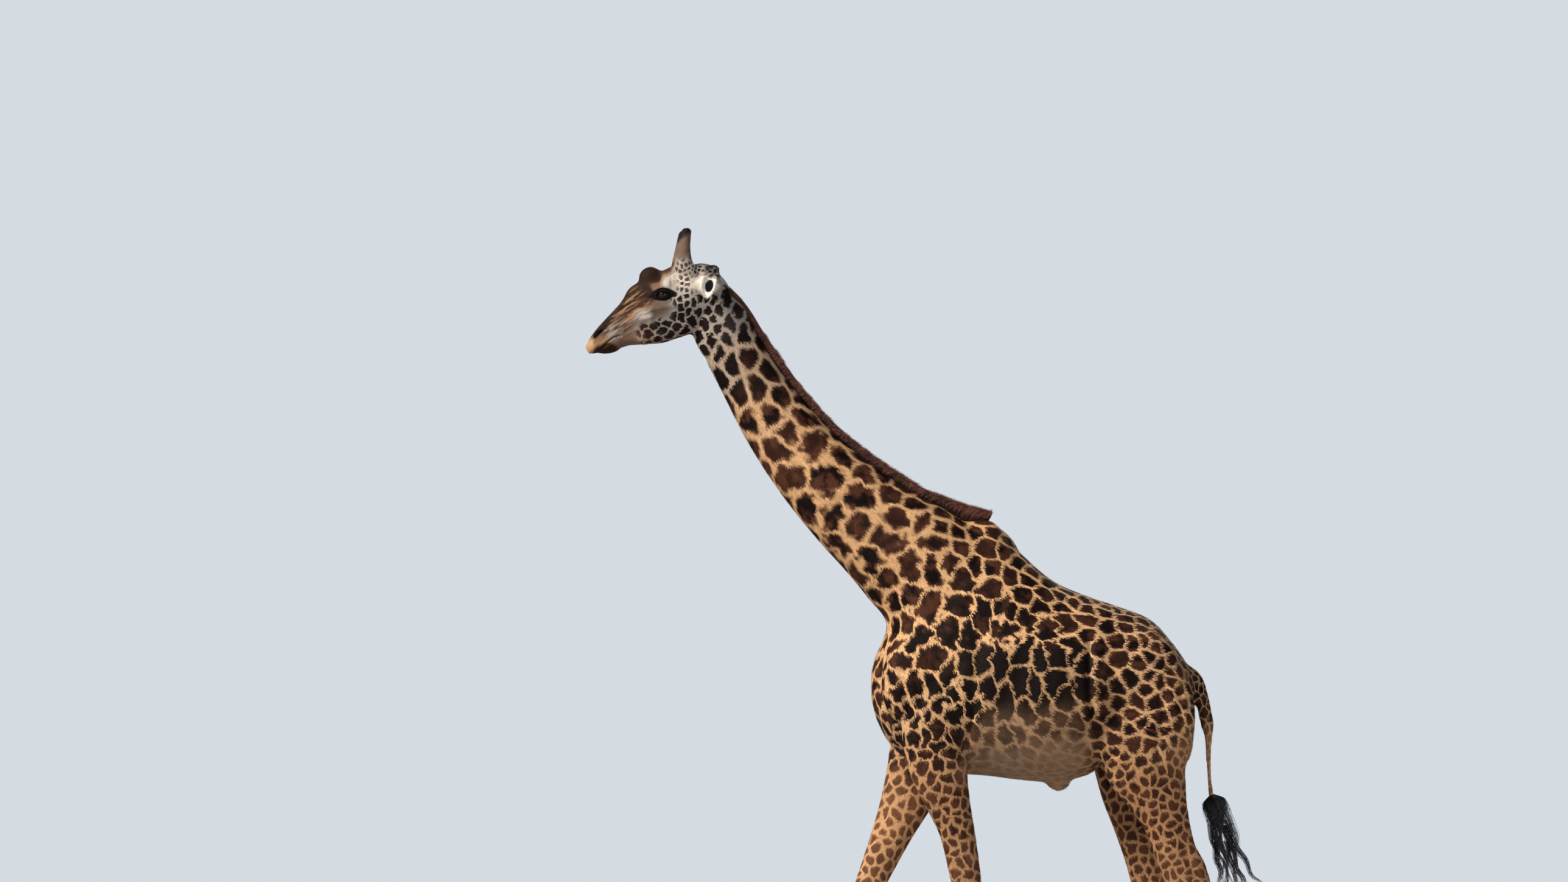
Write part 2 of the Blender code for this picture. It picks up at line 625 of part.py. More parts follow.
def box(low, high, frame=None):
    """A box from one corner to the other in a frame."""
    profile = ((low[0], low[2]), (high[0], low[2]), (high[0], high[2]), (low[0], high[2]))
    return slab(profile, low[1], high[1], frame)


def across_neck(x, z, slope):
    """A frame on the neck whose Z runs up along it."""
    return Matrix.Translation((x, 0.0, z)) @ Matrix.Rotation(math.radians(slope), 4, "Y")


def parted(mesh, cutter):
    """The part of a mesh inside a cutter and the rest of it, with a thin gap between them."""
    return cut(mesh, cutter, "INTERSECT"), cut(mesh, swollen(cutter, 2 * CUT_GAP))


def finish(name, mesh, look):
    """A visible named piece of the model, moved to stand about the origin."""
    mesh.transform(Matrix.Translation((CENTRING_SHIFT, 0.0, 0.0)))
    mesh.materials.clear()
    mesh.materials.append(material(look))
    mesh.name = name
    mesh.shade_smooth()
    mesh.set_sharp_from_angle(angle=math.radians(SHARP_ANGLE))
    placed(name, mesh)


def make_body():
    """The trunk, two lengths of neck and four legs, parted from one fused skin."""
    skin = fused(mesh_from(add_body), BODY_VOXEL, 8, BODY_TRIANGLES, BODY_CREASES)
    pieces = {}
    fore = ((-1.40, -0.10), (0.12, -0.10), (0.12, 1.68), (-0.135, 1.80), (-0.135, 2.24), (-1.40, 2.24))
    hind = ((0.36, -0.10), (1.40, -0.10), (1.40, 2.20), (0.55, 2.20), (0.44, 2.06), (0.40, 1.70))
    for name in LEGS:
        profile = fore if name.startswith("fore") else hind
        inner = 0.105 if name.startswith("fore") else 0.090
        near, far = (-0.60, -inner) if name.endswith("left") else (inner, 0.60)
        pieces[name], skin = parted(skin, slab(profile, near, far))
    _, skin = parted(skin, box((-1.2, -0.5, 0.0), (1.2, 0.5, 1.0), NECK_CUTS["head"]))
    pieces["neck_upper"], skin = parted(skin, box((-1.2, -0.5, 0.0), (1.2, 0.5, 2.0), NECK_CUTS["middle"]))
    pieces["neck_lower"], skin = parted(skin, box((-1.2, -0.8, 0.0), (0.9, 0.8, 2.0), NECK_CUTS["base"]))
    pieces["trunk"] = skin
    return pieces


NECK_CUTS = {
    "base": across_neck(-0.500, 2.870, -45.0),
    "middle": across_neck(-0.990, 3.390, -38.0),
    "head": across_neck(-1.300, 3.960, -28.0),
}


def make_head():
    """The head and its two horns, parted from one fused skin, and the eyes set into it."""
    skin = fused(mesh_from(add_head), HEAD_VOXEL, 9, HEAD_TRIANGLES, HEAD_CREASES)
    skin = cut(skin, box((-1.2, -0.5, 0.0), (1.2, 0.5, 1.0), NECK_CUTS["head"]), "INTERSECT")
    pieces = {}
    for name, side in (("left", LEFT), ("right", RIGHT)):
        near, far = (0.001, 0.20) if side == LEFT else (-0.20, -0.001)
        horn_box = box((-0.12, near, 0.218), (0.150, far, 0.40), head_frame())
        pieces[f"ossicone_{name}"], skin = parted(skin, horn_box)
    for name, side in (("left", LEFT), ("right", RIGHT)):
        pieces[f"eye_{name}"] = mesh_from(add_eye, side)
        pieces[f"ear_{name}"] = mesh_from(add_ear, side)
        skin = clear_of(skin, pieces[f"eye_{name}"], pieces[f"ear_{name}"])
    pieces["head"] = skin
    return pieces


def make_hooves(legs):
    """Two claws under each leg. The legs are cut back to clear them."""
    pieces = {}
    for name in LEGS:
        side = LEFT if name.endswith("left") else RIGHT
        x, _, _, _, out = LEGS[name]["hoof_head"]
        for place, turned in (("inner", -side), ("outer", side)):
            near = side * out + turned * HOOF["cleft"] / 2
            claw = mesh_from(add_claw, x, near, near + turned * HOOF["width"])
            legs[name] = clear_of(legs[name], claw, gap=HOOF_GAP)
            pieces[f"hoof_{name.replace('leg', '')}_{place}"] = claw
    return pieces


def main():
    for found in list(bpy.data.objects):
        bpy.data.objects.remove(found)
    body = make_body()
    hooves = make_hooves(body)
    head = make_head()
    mane = mesh_from(add_mane)
    for name in ("neck_lower", "neck_upper", "trunk"):
        body[name] = clear_of(body[name], mane)
    head["head"] = clear_of(head["head"], mane)
    tail = mesh_from(add_limb, TAIL.values(), 0, 10, 2)
    body["trunk"] = clear_of(body["trunk"], tail)
    tuft = clear_of(fused(mesh_from(add_tuft), 0.009, 1, TUFT_TRIANGLES), tail)
    for name, mesh in body.items():
        finish(name, mesh, "coat")
    for name, mesh in hooves.items():
        finish(name, mesh, "horn")
    for name, mesh in head.items():
        finish(name, mesh, "eye" if name.startswith("eye") else "face")
    finish("mane", mane, "mane")
    finish("tail", tail, "coat")
    finish("tail_tuft", tuft, "tail_hair")


main()
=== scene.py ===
# A bull Masai giraffe in mid stride: skin, coat, mane, tail tuft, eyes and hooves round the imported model.
# It faces -X and its left side faces -Y. Stations are measured from a point under the withers.
import json
import math

import bmesh
import bpy
import numpy as np
from mathutils import Euler, Matrix, Vector, kdtree
from mathutils.bvhtree import BVHTree

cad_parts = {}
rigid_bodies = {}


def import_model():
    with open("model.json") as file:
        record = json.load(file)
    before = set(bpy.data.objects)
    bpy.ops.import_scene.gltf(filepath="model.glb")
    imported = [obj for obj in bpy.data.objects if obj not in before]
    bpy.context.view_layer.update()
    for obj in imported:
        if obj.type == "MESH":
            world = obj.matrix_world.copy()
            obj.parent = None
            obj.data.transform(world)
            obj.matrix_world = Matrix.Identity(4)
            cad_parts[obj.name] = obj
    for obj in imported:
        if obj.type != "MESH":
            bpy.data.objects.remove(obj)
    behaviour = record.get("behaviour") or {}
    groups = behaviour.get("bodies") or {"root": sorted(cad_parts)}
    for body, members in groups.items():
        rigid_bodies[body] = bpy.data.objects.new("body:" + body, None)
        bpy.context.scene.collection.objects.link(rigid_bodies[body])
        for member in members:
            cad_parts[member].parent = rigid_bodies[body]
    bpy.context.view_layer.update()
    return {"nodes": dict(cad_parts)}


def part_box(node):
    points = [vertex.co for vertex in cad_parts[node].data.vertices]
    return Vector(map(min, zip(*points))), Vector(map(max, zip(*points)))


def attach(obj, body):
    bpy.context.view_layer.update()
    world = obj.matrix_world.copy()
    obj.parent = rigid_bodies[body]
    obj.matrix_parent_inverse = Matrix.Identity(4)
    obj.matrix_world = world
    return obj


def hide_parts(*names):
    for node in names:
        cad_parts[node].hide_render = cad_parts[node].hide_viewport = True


for found in list(bpy.data.objects):
    bpy.data.objects.remove(found)
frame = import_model()
print("frame loaded,", len(frame["nodes"]), "nodes")

# trunk: place along X, height of the back, height of the belly, half width, narrowing towards the back
trunkStations = {
    "breastTip": (-0.628, 2.29, 2.14, 0.075, 0.0),
    "breast": (-0.596, 2.4, 2.03, 0.125, 0.0),
    "breastbone": (-0.52, 2.56, 1.905, 0.18, 0.05),
    "shoulderPoint": (-0.4, 2.78, 1.82, 0.245, 0.15),
    "shoulderBlade": (-0.23, 2.97, 1.785, 0.295, 0.28),
    "withers": (-0.05, 3.036, 1.77, 0.315, 0.38),
    "girth": (0.09, 2.89, 1.752, 0.35, 0.34),
    "ribCage": (0.26, 2.738, 1.742, 0.385, 0.24),
    "loin": (0.43, 2.66, 1.775, 0.375, 0.16),
    "flank": (0.57, 2.612, 1.87, 0.315, 0.1),
    "croup": (0.74, 2.545, 1.96, 0.255, 0.08),
    "pelvis": (0.85, 2.43, 1.985, 0.2, 0.05),
    "buttock": (0.92, 2.33, 2.05, 0.13, 0.0),
    "seat": (0.955, 2.266, 2.13, 0.06, 0.0),
}

# neck: middle in X and Z, half depth from throat to crest, half width
neckStations = {
    "root": (-0.14, 2.57, 0.35, 0.215),
    "base": (-0.395, 2.812, 0.305, 0.222),
    "low": (-0.568, 2.958, 0.262, 0.196),
    "lowerThird": (-0.732, 3.1, 0.233, 0.168),
    "middle": (-0.918, 3.29, 0.204, 0.142),
    "upperThird": (-1.088, 3.508, 0.178, 0.12),
    "high": (-1.222, 3.722, 0.155, 0.104),
    "pollEnd": (-1.312, 3.882, 0.148, 0.096),
    "throatLatch": (-1.378, 4.01, 0.146, 0.093),
    "skullJoint": (-1.43, 4.11, 0.11, 0.085),
}

# legs: middle in X and Z, half width fore and aft, half width across, distance out
# a right leg's row leaves out the last numbers that it shares with the left leg's
legStations = {
    "forelegLeft": {
        "upperArm": (-0.335, 2.14, 0.15, 0.08, 0.205),
        "elbow": (-0.325, 1.96, 0.16, 0.082, 0.222),
        "forearmTop": (-0.303, 1.8, 0.146, 0.08, 0.218),
        "forearmBulge": (-0.258, 1.64, 0.112, 0.074, 0.21),
        "forearm": (-0.213, 1.49, 0.09, 0.065, 0.203),
        "forearmLow": (-0.176, 1.29, 0.08, 0.058, 0.197),
        "aboveKnee": (-0.152, 1.14, 0.07, 0.057, 0.193),
        "knee": (-0.138, 1.03, 0.078, 0.07, 0.19),
        "belowKnee": (-0.122, 0.92, 0.066, 0.06, 0.188),
        "cannonTop": (-0.104, 0.82, 0.053, 0.048, 0.187),
        "cannon": (-0.068, 0.6, 0.048, 0.041, 0.184),
        "cannonLow": (-0.03, 0.4, 0.052, 0.045, 0.182),
        "fetlock": (-0.012, 0.3, 0.07, 0.064, 0.181),
        "pastern": (-0.042, 0.21, 0.058, 0.06, 0.18),
        "coronet": (-0.072, 0.14, 0.074, 0.076, 0.18),
        "hoofHead": (-0.082, 0.085, 0.072, 0.074, 0.18),
    },
    "forelegRight": {
        "upperArm": (-0.35, 2.14),
        "elbow": (-0.37, 1.96),
        "forearmTop": (-0.4, 1.81, 0.152, 0.082),
        "forearmBulge": (-0.448, 1.67, 0.132, 0.077),
        "forearm": (-0.52, 1.505, 0.104, 0.067),
        "forearmLow": (-0.618, 1.28),
        "aboveKnee": (-0.68, 1.14),
        "knee": (-0.724, 1.035),
        "belowKnee": (-0.762, 0.93),
        "cannonTop": (-0.793, 0.835),
        "cannon": (-0.862, 0.63),
        "cannonLow": (-0.932, 0.43),
        "fetlock": (-0.97, 0.32),
        "pastern": (-1.018, 0.22),
        "coronet": (-1.058, 0.142),
        "hoofHead": (-1.07, 0.085),
    },
    "hindlegLeft": {
        "hip": (0.665, 2.33, 0.2, 0.085, 0.165),
        "haunch": (0.695, 2.12, 0.25, 0.11, 0.19),
        "thigh": (0.705, 1.96, 0.24, 0.115, 0.2),
        "stifle": (0.712, 1.81, 0.21, 0.105, 0.202),
        "gaskinTop": (0.752, 1.69, 0.16, 0.088, 0.197),
        "gaskin": (0.804, 1.545, 0.118, 0.07, 0.19),
        "gaskinLow": (0.848, 1.4, 0.106, 0.06, 0.184),
        "aboveHock": (0.893, 1.29, 0.114, 0.056, 0.18),
        "hock": (0.912, 1.19, 0.096, 0.062, 0.177),
        "belowHock": (0.924, 1.08, 0.07, 0.057, 0.174),
        "cannonTop": (0.934, 0.95, 0.054, 0.046, 0.172),
        "cannon": (0.95, 0.7, 0.048, 0.041, 0.17),
        "cannonLow": (0.966, 0.43, 0.051, 0.044, 0.168),
        "fetlock": (0.973, 0.305, 0.068, 0.062, 0.166),
        "pastern": (0.944, 0.21, 0.057, 0.058, 0.166),
        "coronet": (0.914, 0.138, 0.073, 0.074, 0.166),
        "hoofHead": (0.904, 0.085, 0.071, 0.072, 0.166),
    },
    "hindlegRight": {
        "hip": (0.66, 2.33),
        "haunch": (0.685, 2.12, 0.245),
        "thigh": (0.68, 1.96, 0.235),
        "stifle": (0.665, 1.81, 0.198),
        "gaskinTop": (0.66, 1.69, 0.155),
        "gaskin": (0.682, 1.545, 0.12),
        "gaskinLow": (0.718, 1.4),
        "aboveHock": (0.757, 1.285),
        "hock": (0.775, 1.185),
        "belowHock": (0.779, 1.075),
        "cannonTop": (0.772, 0.95),
        "cannon": (0.744, 0.7),
        "cannonLow": (0.71, 0.43),
        "fetlock": (0.694, 0.305),
        "pastern": (0.655, 0.21),
        "coronet": (0.62, 0.138),
        "hoofHead": (0.608, 0.085),
    },
}
for near, far in (("forelegLeft", "forelegRight"), ("hindlegLeft", "hindlegRight")):
    for name, row in legStations[far].items():
        legStations[far][name] = row + legStations[near][name][len(row) :]

# head: reach along the face, top, bottom, half width, narrowing towards the jaw
headStations = {
    "occiput": (-0.05, 0.04, -0.08, 0.07, -0.1),
    "earRoot": (0.02, 0.12, -0.135, 0.098, 0.0),
    "temple": (0.1, 0.17, -0.145, 0.11, 0.12),
    "orbit": (0.19, 0.198, -0.13, 0.107, 0.25),
    "cheek": (0.28, 0.214, -0.112, 0.092, 0.26),
    "face": (0.37, 0.212, -0.088, 0.079, 0.22),
    "bridge": (0.46, 0.18, -0.036, 0.064, 0.16),
    "muzzle": (0.54, 0.158, -0.008, 0.058, 0.06),
    "nostrils": (0.6, 0.14, 0.004, 0.06, 0.0),
    "upperLip": (0.654, 0.118, 0.03, 0.056, 0.0),
    "lipEnd": (0.697, 0.094, 0.05, 0.034, 0.0),
}

# horn: reach, distance out, height, half width fore and aft, half width across
hornStations = {
    "skull": (0.094, 0.05, 0.092, 0.064, 0.042),
    "root": (0.082, 0.06, 0.16, 0.058, 0.042),
    "narrowing": (0.061, 0.062, 0.205, 0.044, 0.034),
    "shaft": (0.029, 0.061, 0.252, 0.034, 0.029),
    "upperShaft": (-0.004, 0.058, 0.292, 0.029, 0.027),
    "crown": (-0.025, 0.055, 0.316, 0.027, 0.027),
    "crownTop": (-0.034, 0.054, 0.329, 0.018, 0.017),
}

# mane: place of the hair tips in X and Z, half depth, half width
maneStations = {
    "betweenEars": (-1.37, 4.23, 0.034, 0.012),
    "poll": (-1.278, 4.16, 0.044, 0.017),
    "high": (-1.165, 4.008, 0.052, 0.02),
    "upperThird": (-1.004, 3.774, 0.053, 0.022),
    "middle": (-0.84, 3.572, 0.052, 0.023),
    "lowerThird": (-0.618, 3.38, 0.052, 0.023),
    "low": (-0.405, 3.236, 0.052, 0.023),
    "withers": (-0.228, 3.158, 0.05, 0.022),
    "lastTuft": (-0.09, 3.112, 0.05, 0.018),
    "end": (-0.026, 3.086, 0.036, 0.01),
}

# tail: middle in X and Z, half depth, half width
tailStations = {
    "root": (0.895, 2.296, 0.042, 0.05),
    "dock": (0.957, 2.248, 0.042, 0.046),
    "dockBend": (0.993, 2.156, 0.037, 0.038),
    "dockLow": (1.013, 2.064, 0.035, 0.036),
    "knob": (1.022, 2.02, 0.034, 0.035),
    "belowKnob": (1.026, 1.96, 0.021, 0.023),
    "whip": (1.026, 1.86, 0.015, 0.017),
    "whipLow": (1.03, 1.76, 0.013, 0.015),
    "whipEnd": (1.04, 1.655, 0.015, 0.016),
}

# tail tuft: middle in X and Z, half depth, half width
tuftStations = {
    "top": (1.04, 1.682, 0.026, 0.026),
    "crown": (1.05, 1.645, 0.05, 0.044),
    "full": (1.066, 1.58, 0.072, 0.058),
    "body": (1.084, 1.49, 0.07, 0.054),
    "thinning": (1.106, 1.38, 0.06, 0.048),
    "locks": (1.132, 1.26, 0.044, 0.038),
    "lockEnds": (1.154, 1.13, 0.028, 0.026),
    "tip": (1.17, 1.01, 0.008, 0.008),
}

# ears, in the head's frame: root, the way they point, the way they open
earShape = {
    "root": (-0.009, 0.089, 0.07),
    "points": (0.5, 0.75, -0.46),
    "opens": (-0.22, 0.72, 0.62),
    "length": 0.205,
    "halfWidth": 0.039,
    "thickness": 0.013,
}
headPose = {"place": (-1.401, 0.0, 4.17), "pitch": 32.0, "yaw": 8.0}
hoofShape = {
    "toe": 0.15,
    "heel": 0.098,
    "cleft": 0.01,
    "width": 0.088,
    "toeHeight": 0.13,
    "heelHeight": 0.075,
    "toeSlope": 0.075,
    "hollow": 0.006,
    "bevel": 0.005,
    "bevelHeight": 0.035,
    "headInset": 0.012,
    "square": 2.6,
    "sides": 48,
    "levels": 14,
}
skinSettings = {
    "bodyVoxel": 0.011,
    "headVoxel": 0.0036,
    "bodyRounds": 9,
    "headRounds": 26,
    "bodyCreaseRounds": 120,
    "bodyCreaseReach": 0.26,
    "headCreaseRounds": 160,
    "headCreaseReach": 0.13,
    "faceCreaseRounds": 70,
    "joinRounds": 30,
    "joinPlace": (-1.29, 0.0, 3.935),  # where the finer mesh of the head starts on the neck
    "joinSlope": -28.0,
}
left, right = -1, 1
legs = tuple(legStations)
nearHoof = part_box("hoof_fore_left_outer")
forward = nearHoof[0].x - (legStations["forelegLeft"]["hoofHead"][0] - hoofShape["toe"])


# forms of the flesh
def smoothPath(rows, steps=6):
    rows = np.asarray(rows, float)
    ends = np.vstack([2 * rows[0] - rows[1], rows, 2 * rows[-1] - rows[-2]])
    made = []
    for i in range(1, len(ends) - 2):
        before, start, stop, after = ends[i - 1 : i + 3]
        for t in np.arange(steps) / steps:
            bend = (2 * before - 5 * start + 4 * stop - after) * t**2
            turn = (3 * start - before - 3 * stop + after) * t**3
            made.append(0.5 * (2 * start + (stop - before) * t + bend + turn))
    made.append(rows[-1])
    return np.array(made)


def unit(ways, least=1e-9):
    return ways / np.maximum(np.linalg.norm(ways, axis=-1), least)[..., None]


def headings(path):
    return unit(np.gradient(path[:, :2], axis=0))


def around(sides):
    return np.linspace(0, 2 * math.pi, sides, endpoint=False)


def sideOf(name):
    return left if name.endswith("Left") else right


def headMatrix():
    facing = Matrix(((-1, 0, 0), (0, -1, 0), (0, 0, 1))).to_4x4()
    pitch = Matrix.Rotation(math.radians(headPose["pitch"]), 4, "Y")
    yaw = Matrix.Rotation(math.radians(headPose["yaw"]), 4, "Z")
    return Matrix.Translation(headPose["place"]) @ yaw @ facing @ pitch


def inHead(reach, side, height):
    return headMatrix() @ Vector((reach, -side, height))


def addRings(shape, rings):
    loops = [[shape.verts.new(point) for point in ring] for ring in rings]
    sides = len(loops[0])
    for first, second in zip(loops, loops[1:]):
        for i in range(sides):
            j = (i + 1) % sides
            shape.faces.new((first[i], first[j], second[j], second[i]))
    for loop in (loops[0], loops[-1]):
        centre = shape.verts.new(sum((v.co for v in loop), Vector()) / sides)
        for i in range(sides):
            shape.faces.new((loop[i], loop[(i + 1) % sides], centre))


def addUprightLoft(shape, stations, matrix=None, across=1.0, sides=48):
    matrix = matrix or Matrix()
    rings = []
    for x, top, bottom, width, narrowing in smoothPath(list(stations.values())):
        middle, half = (top + bottom) / 2, (top - bottom) / 2
        ring = []
        for turn in around(sides):
            away = width * math.sin(turn) * (1 - across * narrowing * math.cos(turn))
            ring.append(matrix @ Vector((x, away, middle + half * math.cos(turn))))
        rings.append(ring)
    addRings(shape, rings)


def addLimb(shape, stations, side=0, sides=40, steps=6):
    path = smoothPath([row if len(row) > 3 else (*row, row[2]) for row in stations], steps)
    rings = []
    for row, (alongX, alongZ) in zip(path, headings(path)):
        x, z, deep, wide = row[:4]
        out = row[4] if len(row) > 4 else 0.0
        ring = []
        for turn in around(sides):
            ahead = deep * math.cos(turn)
            ring.append((x - alongZ * ahead, side * out + wide * math.sin(turn), z + alongX * ahead))
        rings.append(ring)
    addRings(shape, rings)


def addMuscle(shape, centre, radii, pitch=0.0, yaw=0.0, roll=0.0, matrix=None):
    turned = Euler([math.radians(a) for a in (roll, pitch, yaw)]).to_matrix().to_4x4()
    placed = (matrix or Matrix()) @ Matrix.Translation(centre) @ turned @ Matrix.Diagonal((*radii, 1))
    bmesh.ops.create_icosphere(shape, subdivisions=4, radius=1.0, matrix=placed)


def addForms(shape, paired, single, matrix=None):
    for (x, y, z), radii, pitch, yaw, roll in paired.values():
        for side in (left, right):
            addMuscle(shape, (x, side * y, z), radii, pitch, side * yaw, side * roll, matrix)
    for centre, radii, pitch, yaw, roll in single.values():
        addMuscle(shape, centre, radii, pitch, yaw, roll, matrix)


# each muscle: middle, radii, then pitch, yaw and roll in degrees
pairedMuscles = {
    "shoulderBlade": ((-0.225, 0.16, 2.52), (0.15, 0.09, 0.4), 22, 0, 10),
    "shoulderPoint": ((-0.43, 0.18, 2.26), (0.15, 0.108, 0.25), 10, 0, 4),
    "neckRoot": ((-0.34, 0.14, 2.58), (0.15, 0.11, 0.28), -30, 0, 12),
    "triceps": ((-0.29, 0.21, 2.08), (0.16, 0.092, 0.23), 10, 0, 0),
    "breast": ((-0.49, 0.075, 2.1), (0.11, 0.085, 0.19), -14, 0, 0),
    "ribs": ((0.11, 0.19, 2.23), (0.4, 0.17, 0.34), 6, 0, 0),
    "hipPoint": ((0.45, 0.215, 2.43), (0.1, 0.06, 0.06), 24, 0, 0),
    "rump": ((0.64, 0.165, 2.26), (0.25, 0.12, 0.24), 24, 0, 0),
    "buttock": ((0.79, 0.13, 2.07), (0.15, 0.11, 0.26), -6, 0, 0),
    "thigh": ((0.59, 0.22, 1.96), (0.15, 0.09, 0.22), -14, 0, 0),
}
singleMuscles = {
    "withers": ((-0.09, 0.0, 2.88), (0.2, 0.085, 0.145), 20, 0, 0),
    "sheath": ((0.282, 0.0, 1.752), (0.068, 0.034, 0.058), 24, 0, 0),
}
pairedHeadForms = {
    "browRidge": ((0.225, 0.072, 0.136), (0.086, 0.042, 0.038), 0, -8, 0),
    "eyeSocket": ((0.228, 0.064, 0.086), (0.096, 0.046, 0.066), 0, -8, 0),
    "cheekRidge": ((0.34, 0.056, 0.074), (0.14, 0.028, 0.034), -4, -13, 0),
    "jawMuscle": ((0.215, 0.042, -0.03), (0.15, 0.042, 0.094), -8, 0, 0),
    "jawBone": ((0.4, 0.032, -0.034), (0.16, 0.028, 0.032), -24, 0, 0),
    "napeMuscle": ((0.03, 0.05, -0.01), (0.095, 0.052, 0.115), -14, 0, 0),
    "rearKnob": ((-0.034, 0.034, 0.08), (0.038, 0.032, 0.036), 0, 0, 0),
    "nostril": ((0.586, 0.034, 0.104), (0.066, 0.028, 0.03), 14, 4, 0),
}
legBones = [  # station, how far behind it, apart and above, radii and pitch
    ("aboveHock", 0.088, 0.0, -0.03, (0.038, 0.034, 0.08), -12),
    ("knee", 0.054, 0.0, -0.018, (0.034, 0.042, 0.05), 0),
    ("fetlock", 0.05, -0.028, -0.018, (0.03, 0.025, 0.034), 0),
    ("fetlock", 0.05, 0.028, -0.018, (0.03, 0.025, 0.034), 0),
]
singleHeadForms = {
    "foreheadKnob": ((0.24, 0.0, 0.205), (0.064, 0.058, 0.066), 0, 0, 0),
    "brow": ((0.165, 0.0, 0.165), (0.095, 0.08, 0.05), 0, 0, 0),
    "noseBone": ((0.345, 0.0, 0.19), (0.08, 0.04, 0.038), 14, 0, 0),
    "skullBack": ((0.01, 0.0, 0.112), (0.075, 0.07, 0.042), -30, 0, 0),
    "upperLip": ((0.656, 0.0, 0.076), (0.049, 0.055, 0.034), 32, 0, 0),
    "lowerLip": ((0.604, 0.0, 0.028), (0.066, 0.042, 0.028), -24, 0, 0),
}


def addBody(shape):
    addUprightLoft(shape, trunkStations)
    addLimb(shape, neckStations.values())
    addLimb(shape, tailStations.values(), sides=24)
    addForms(shape, pairedMuscles, singleMuscles)
    for name in legs:
        stations, side = legStations[name], sideOf(name)
        addLimb(shape, stations.values(), side)
        for station, ahead, apart, rise, radii, pitch in legBones:
            if station in stations:
                x, z, _, _, out = stations[station]
                addMuscle(shape, (x + ahead, side * out + apart, z + rise), radii, pitch)


def earFrame(side):
    turned = headMatrix().to_3x3()
    mirror = Vector((1.0, -side, 1.0))
    out = (turned @ (Vector(earShape["points"]) * mirror)).normalized()
    opening = turned @ (Vector(earShape["opens"]) * mirror)
    opening = (opening - out * opening.dot(out)).normalized()
    reach, apart, height = earShape["root"]
    return inHead(reach, side * apart, height), out, opening, out.cross(opening).normalized()


def earPlaces(points, side):  # how far out along the ear, across it and towards its opening
    root, *ways = (np.array(way) for way in earFrame(side))
    out, opening, across = ways
    return (points - root) @ out, (points - root) @ across, (points - root) @ opening, ways


def addEar(shape, side):
    root, out, opening, across = earFrame(side)
    rings = []
    for t in np.linspace(0.0, 1.0, 24):
        width = earShape["halfWidth"] * max(0.06, math.sin(math.pi * (0.13 + 0.87 * t) ** 0.85) ** 0.62)
        cup = width * (0.95 - 0.45 * t)
        bend = 1.25 - 0.25 * t
        thick = earShape["thickness"] * (1.25 - 0.6 * t) / 2
        backs, fronts = [], []
        for turn in np.linspace(-bend, bend, 18):
            curl = across * (width * math.sin(turn) / math.sin(bend)) - opening * (cup * (math.cos(turn) - 0.35))
            away = across * math.sin(turn) - opening * math.cos(turn)
            middle = root + out * (earShape["length"] * t) + curl
            backs.append(middle + away * thick)
            fronts.append(middle - away * thick)
        rings.append(backs + fronts[::-1])
    addRings(shape, rings)


def addHead(shape):
    matrix = headMatrix()
    addUprightLoft(shape, headStations, matrix, across=-1.0)
    addForms(shape, pairedHeadForms, singleHeadForms, matrix)
    addLimb(shape, list(neckStations.values())[5:])
    path = smoothPath(list(hornStations.values()))
    for side in (left, right):
        rings = []
        for reach, out, height, deep, wide in path:
            ring = []
            for turn in around(32):
                along = deep * math.cos(turn)
                place = (reach + 0.86 * along, side * out + wide * math.sin(turn), height + 0.5 * along)
                ring.append(matrix @ Vector(place))
            rings.append(ring)
        addRings(shape, rings)
        addEar(shape, side)


# from forms to one skin
def builtMesh(name, builder, *given):
    shape = bmesh.new()
    builder(shape, *given)
    bmesh.ops.recalc_face_normals(shape, faces=shape.faces)
    mesh = bpy.data.meshes.new(name)
    shape.to_mesh(mesh)
    shape.free()
    return mesh


def remeshed(builder, voxel):
    holder = bpy.data.objects.new("holder", builtMesh("forms", builder))
    bpy.context.scene.collection.objects.link(holder)
    change = holder.modifiers.new("remesh", "REMESH")
    change.mode = "VOXEL"
    change.voxel_size = voxel
    bpy.context.view_layer.update()
    graph = bpy.context.evaluated_depsgraph_get()
    made = bpy.data.meshes.new_from_object(holder.evaluated_get(graph))
    bpy.data.objects.remove(holder)
    return made


def pointsOf(mesh):
    points = np.empty(len(mesh.vertices) * 3)
    mesh.vertices.foreach_get("co", points)
    return points.reshape(-1, 3)


def normalsOf(mesh):
    normals = np.empty(len(mesh.vertices) * 3, np.float32)
    mesh.vertex_normals.foreach_get("vector", normals)
    return normals.reshape(-1, 3).astype(float)


def setPoints(mesh, points):
    mesh.vertices.foreach_set("co", points.astype(np.float32).ravel())
    mesh.update()


def edgeEnds(mesh):
    edges = np.empty(len(mesh.edges) * 2, int)
    mesh.edges.foreach_get("vertices", edges)
    edges = edges.reshape(-1, 2).T
    return np.hstack([edges, edges[::-1]])


def relaxed(points, ends, rounds, weight=None):
    first, second = ends
    share = np.maximum(np.bincount(first, minlength=len(points)), 1)[:, None]
    weight = 1.0 if weight is None else weight[:, None]
    for _ in range(rounds):
        sums = [np.bincount(first, points[second, i], len(points)) for i in range(3)]
        means = np.stack(sums, 1) / share
        points = points + 0.5 * weight * (means - points)
    return points


def step(low, high, value):
    t = np.clip((value - low) / (high - low), 0.0, 1.0)
    return t * t * (3 - 2 * t)


def bump(away, width):
    return np.exp(-((away / width) ** 2))


def nearPlaces(points, places, reach):
    weight = np.zeros(len(points))
    for place in places:
        away = np.linalg.norm(points - np.array(place), axis=1)
        weight = np.maximum(weight, 1.0 - step(0.4 * reach, reach, away))
    return weight


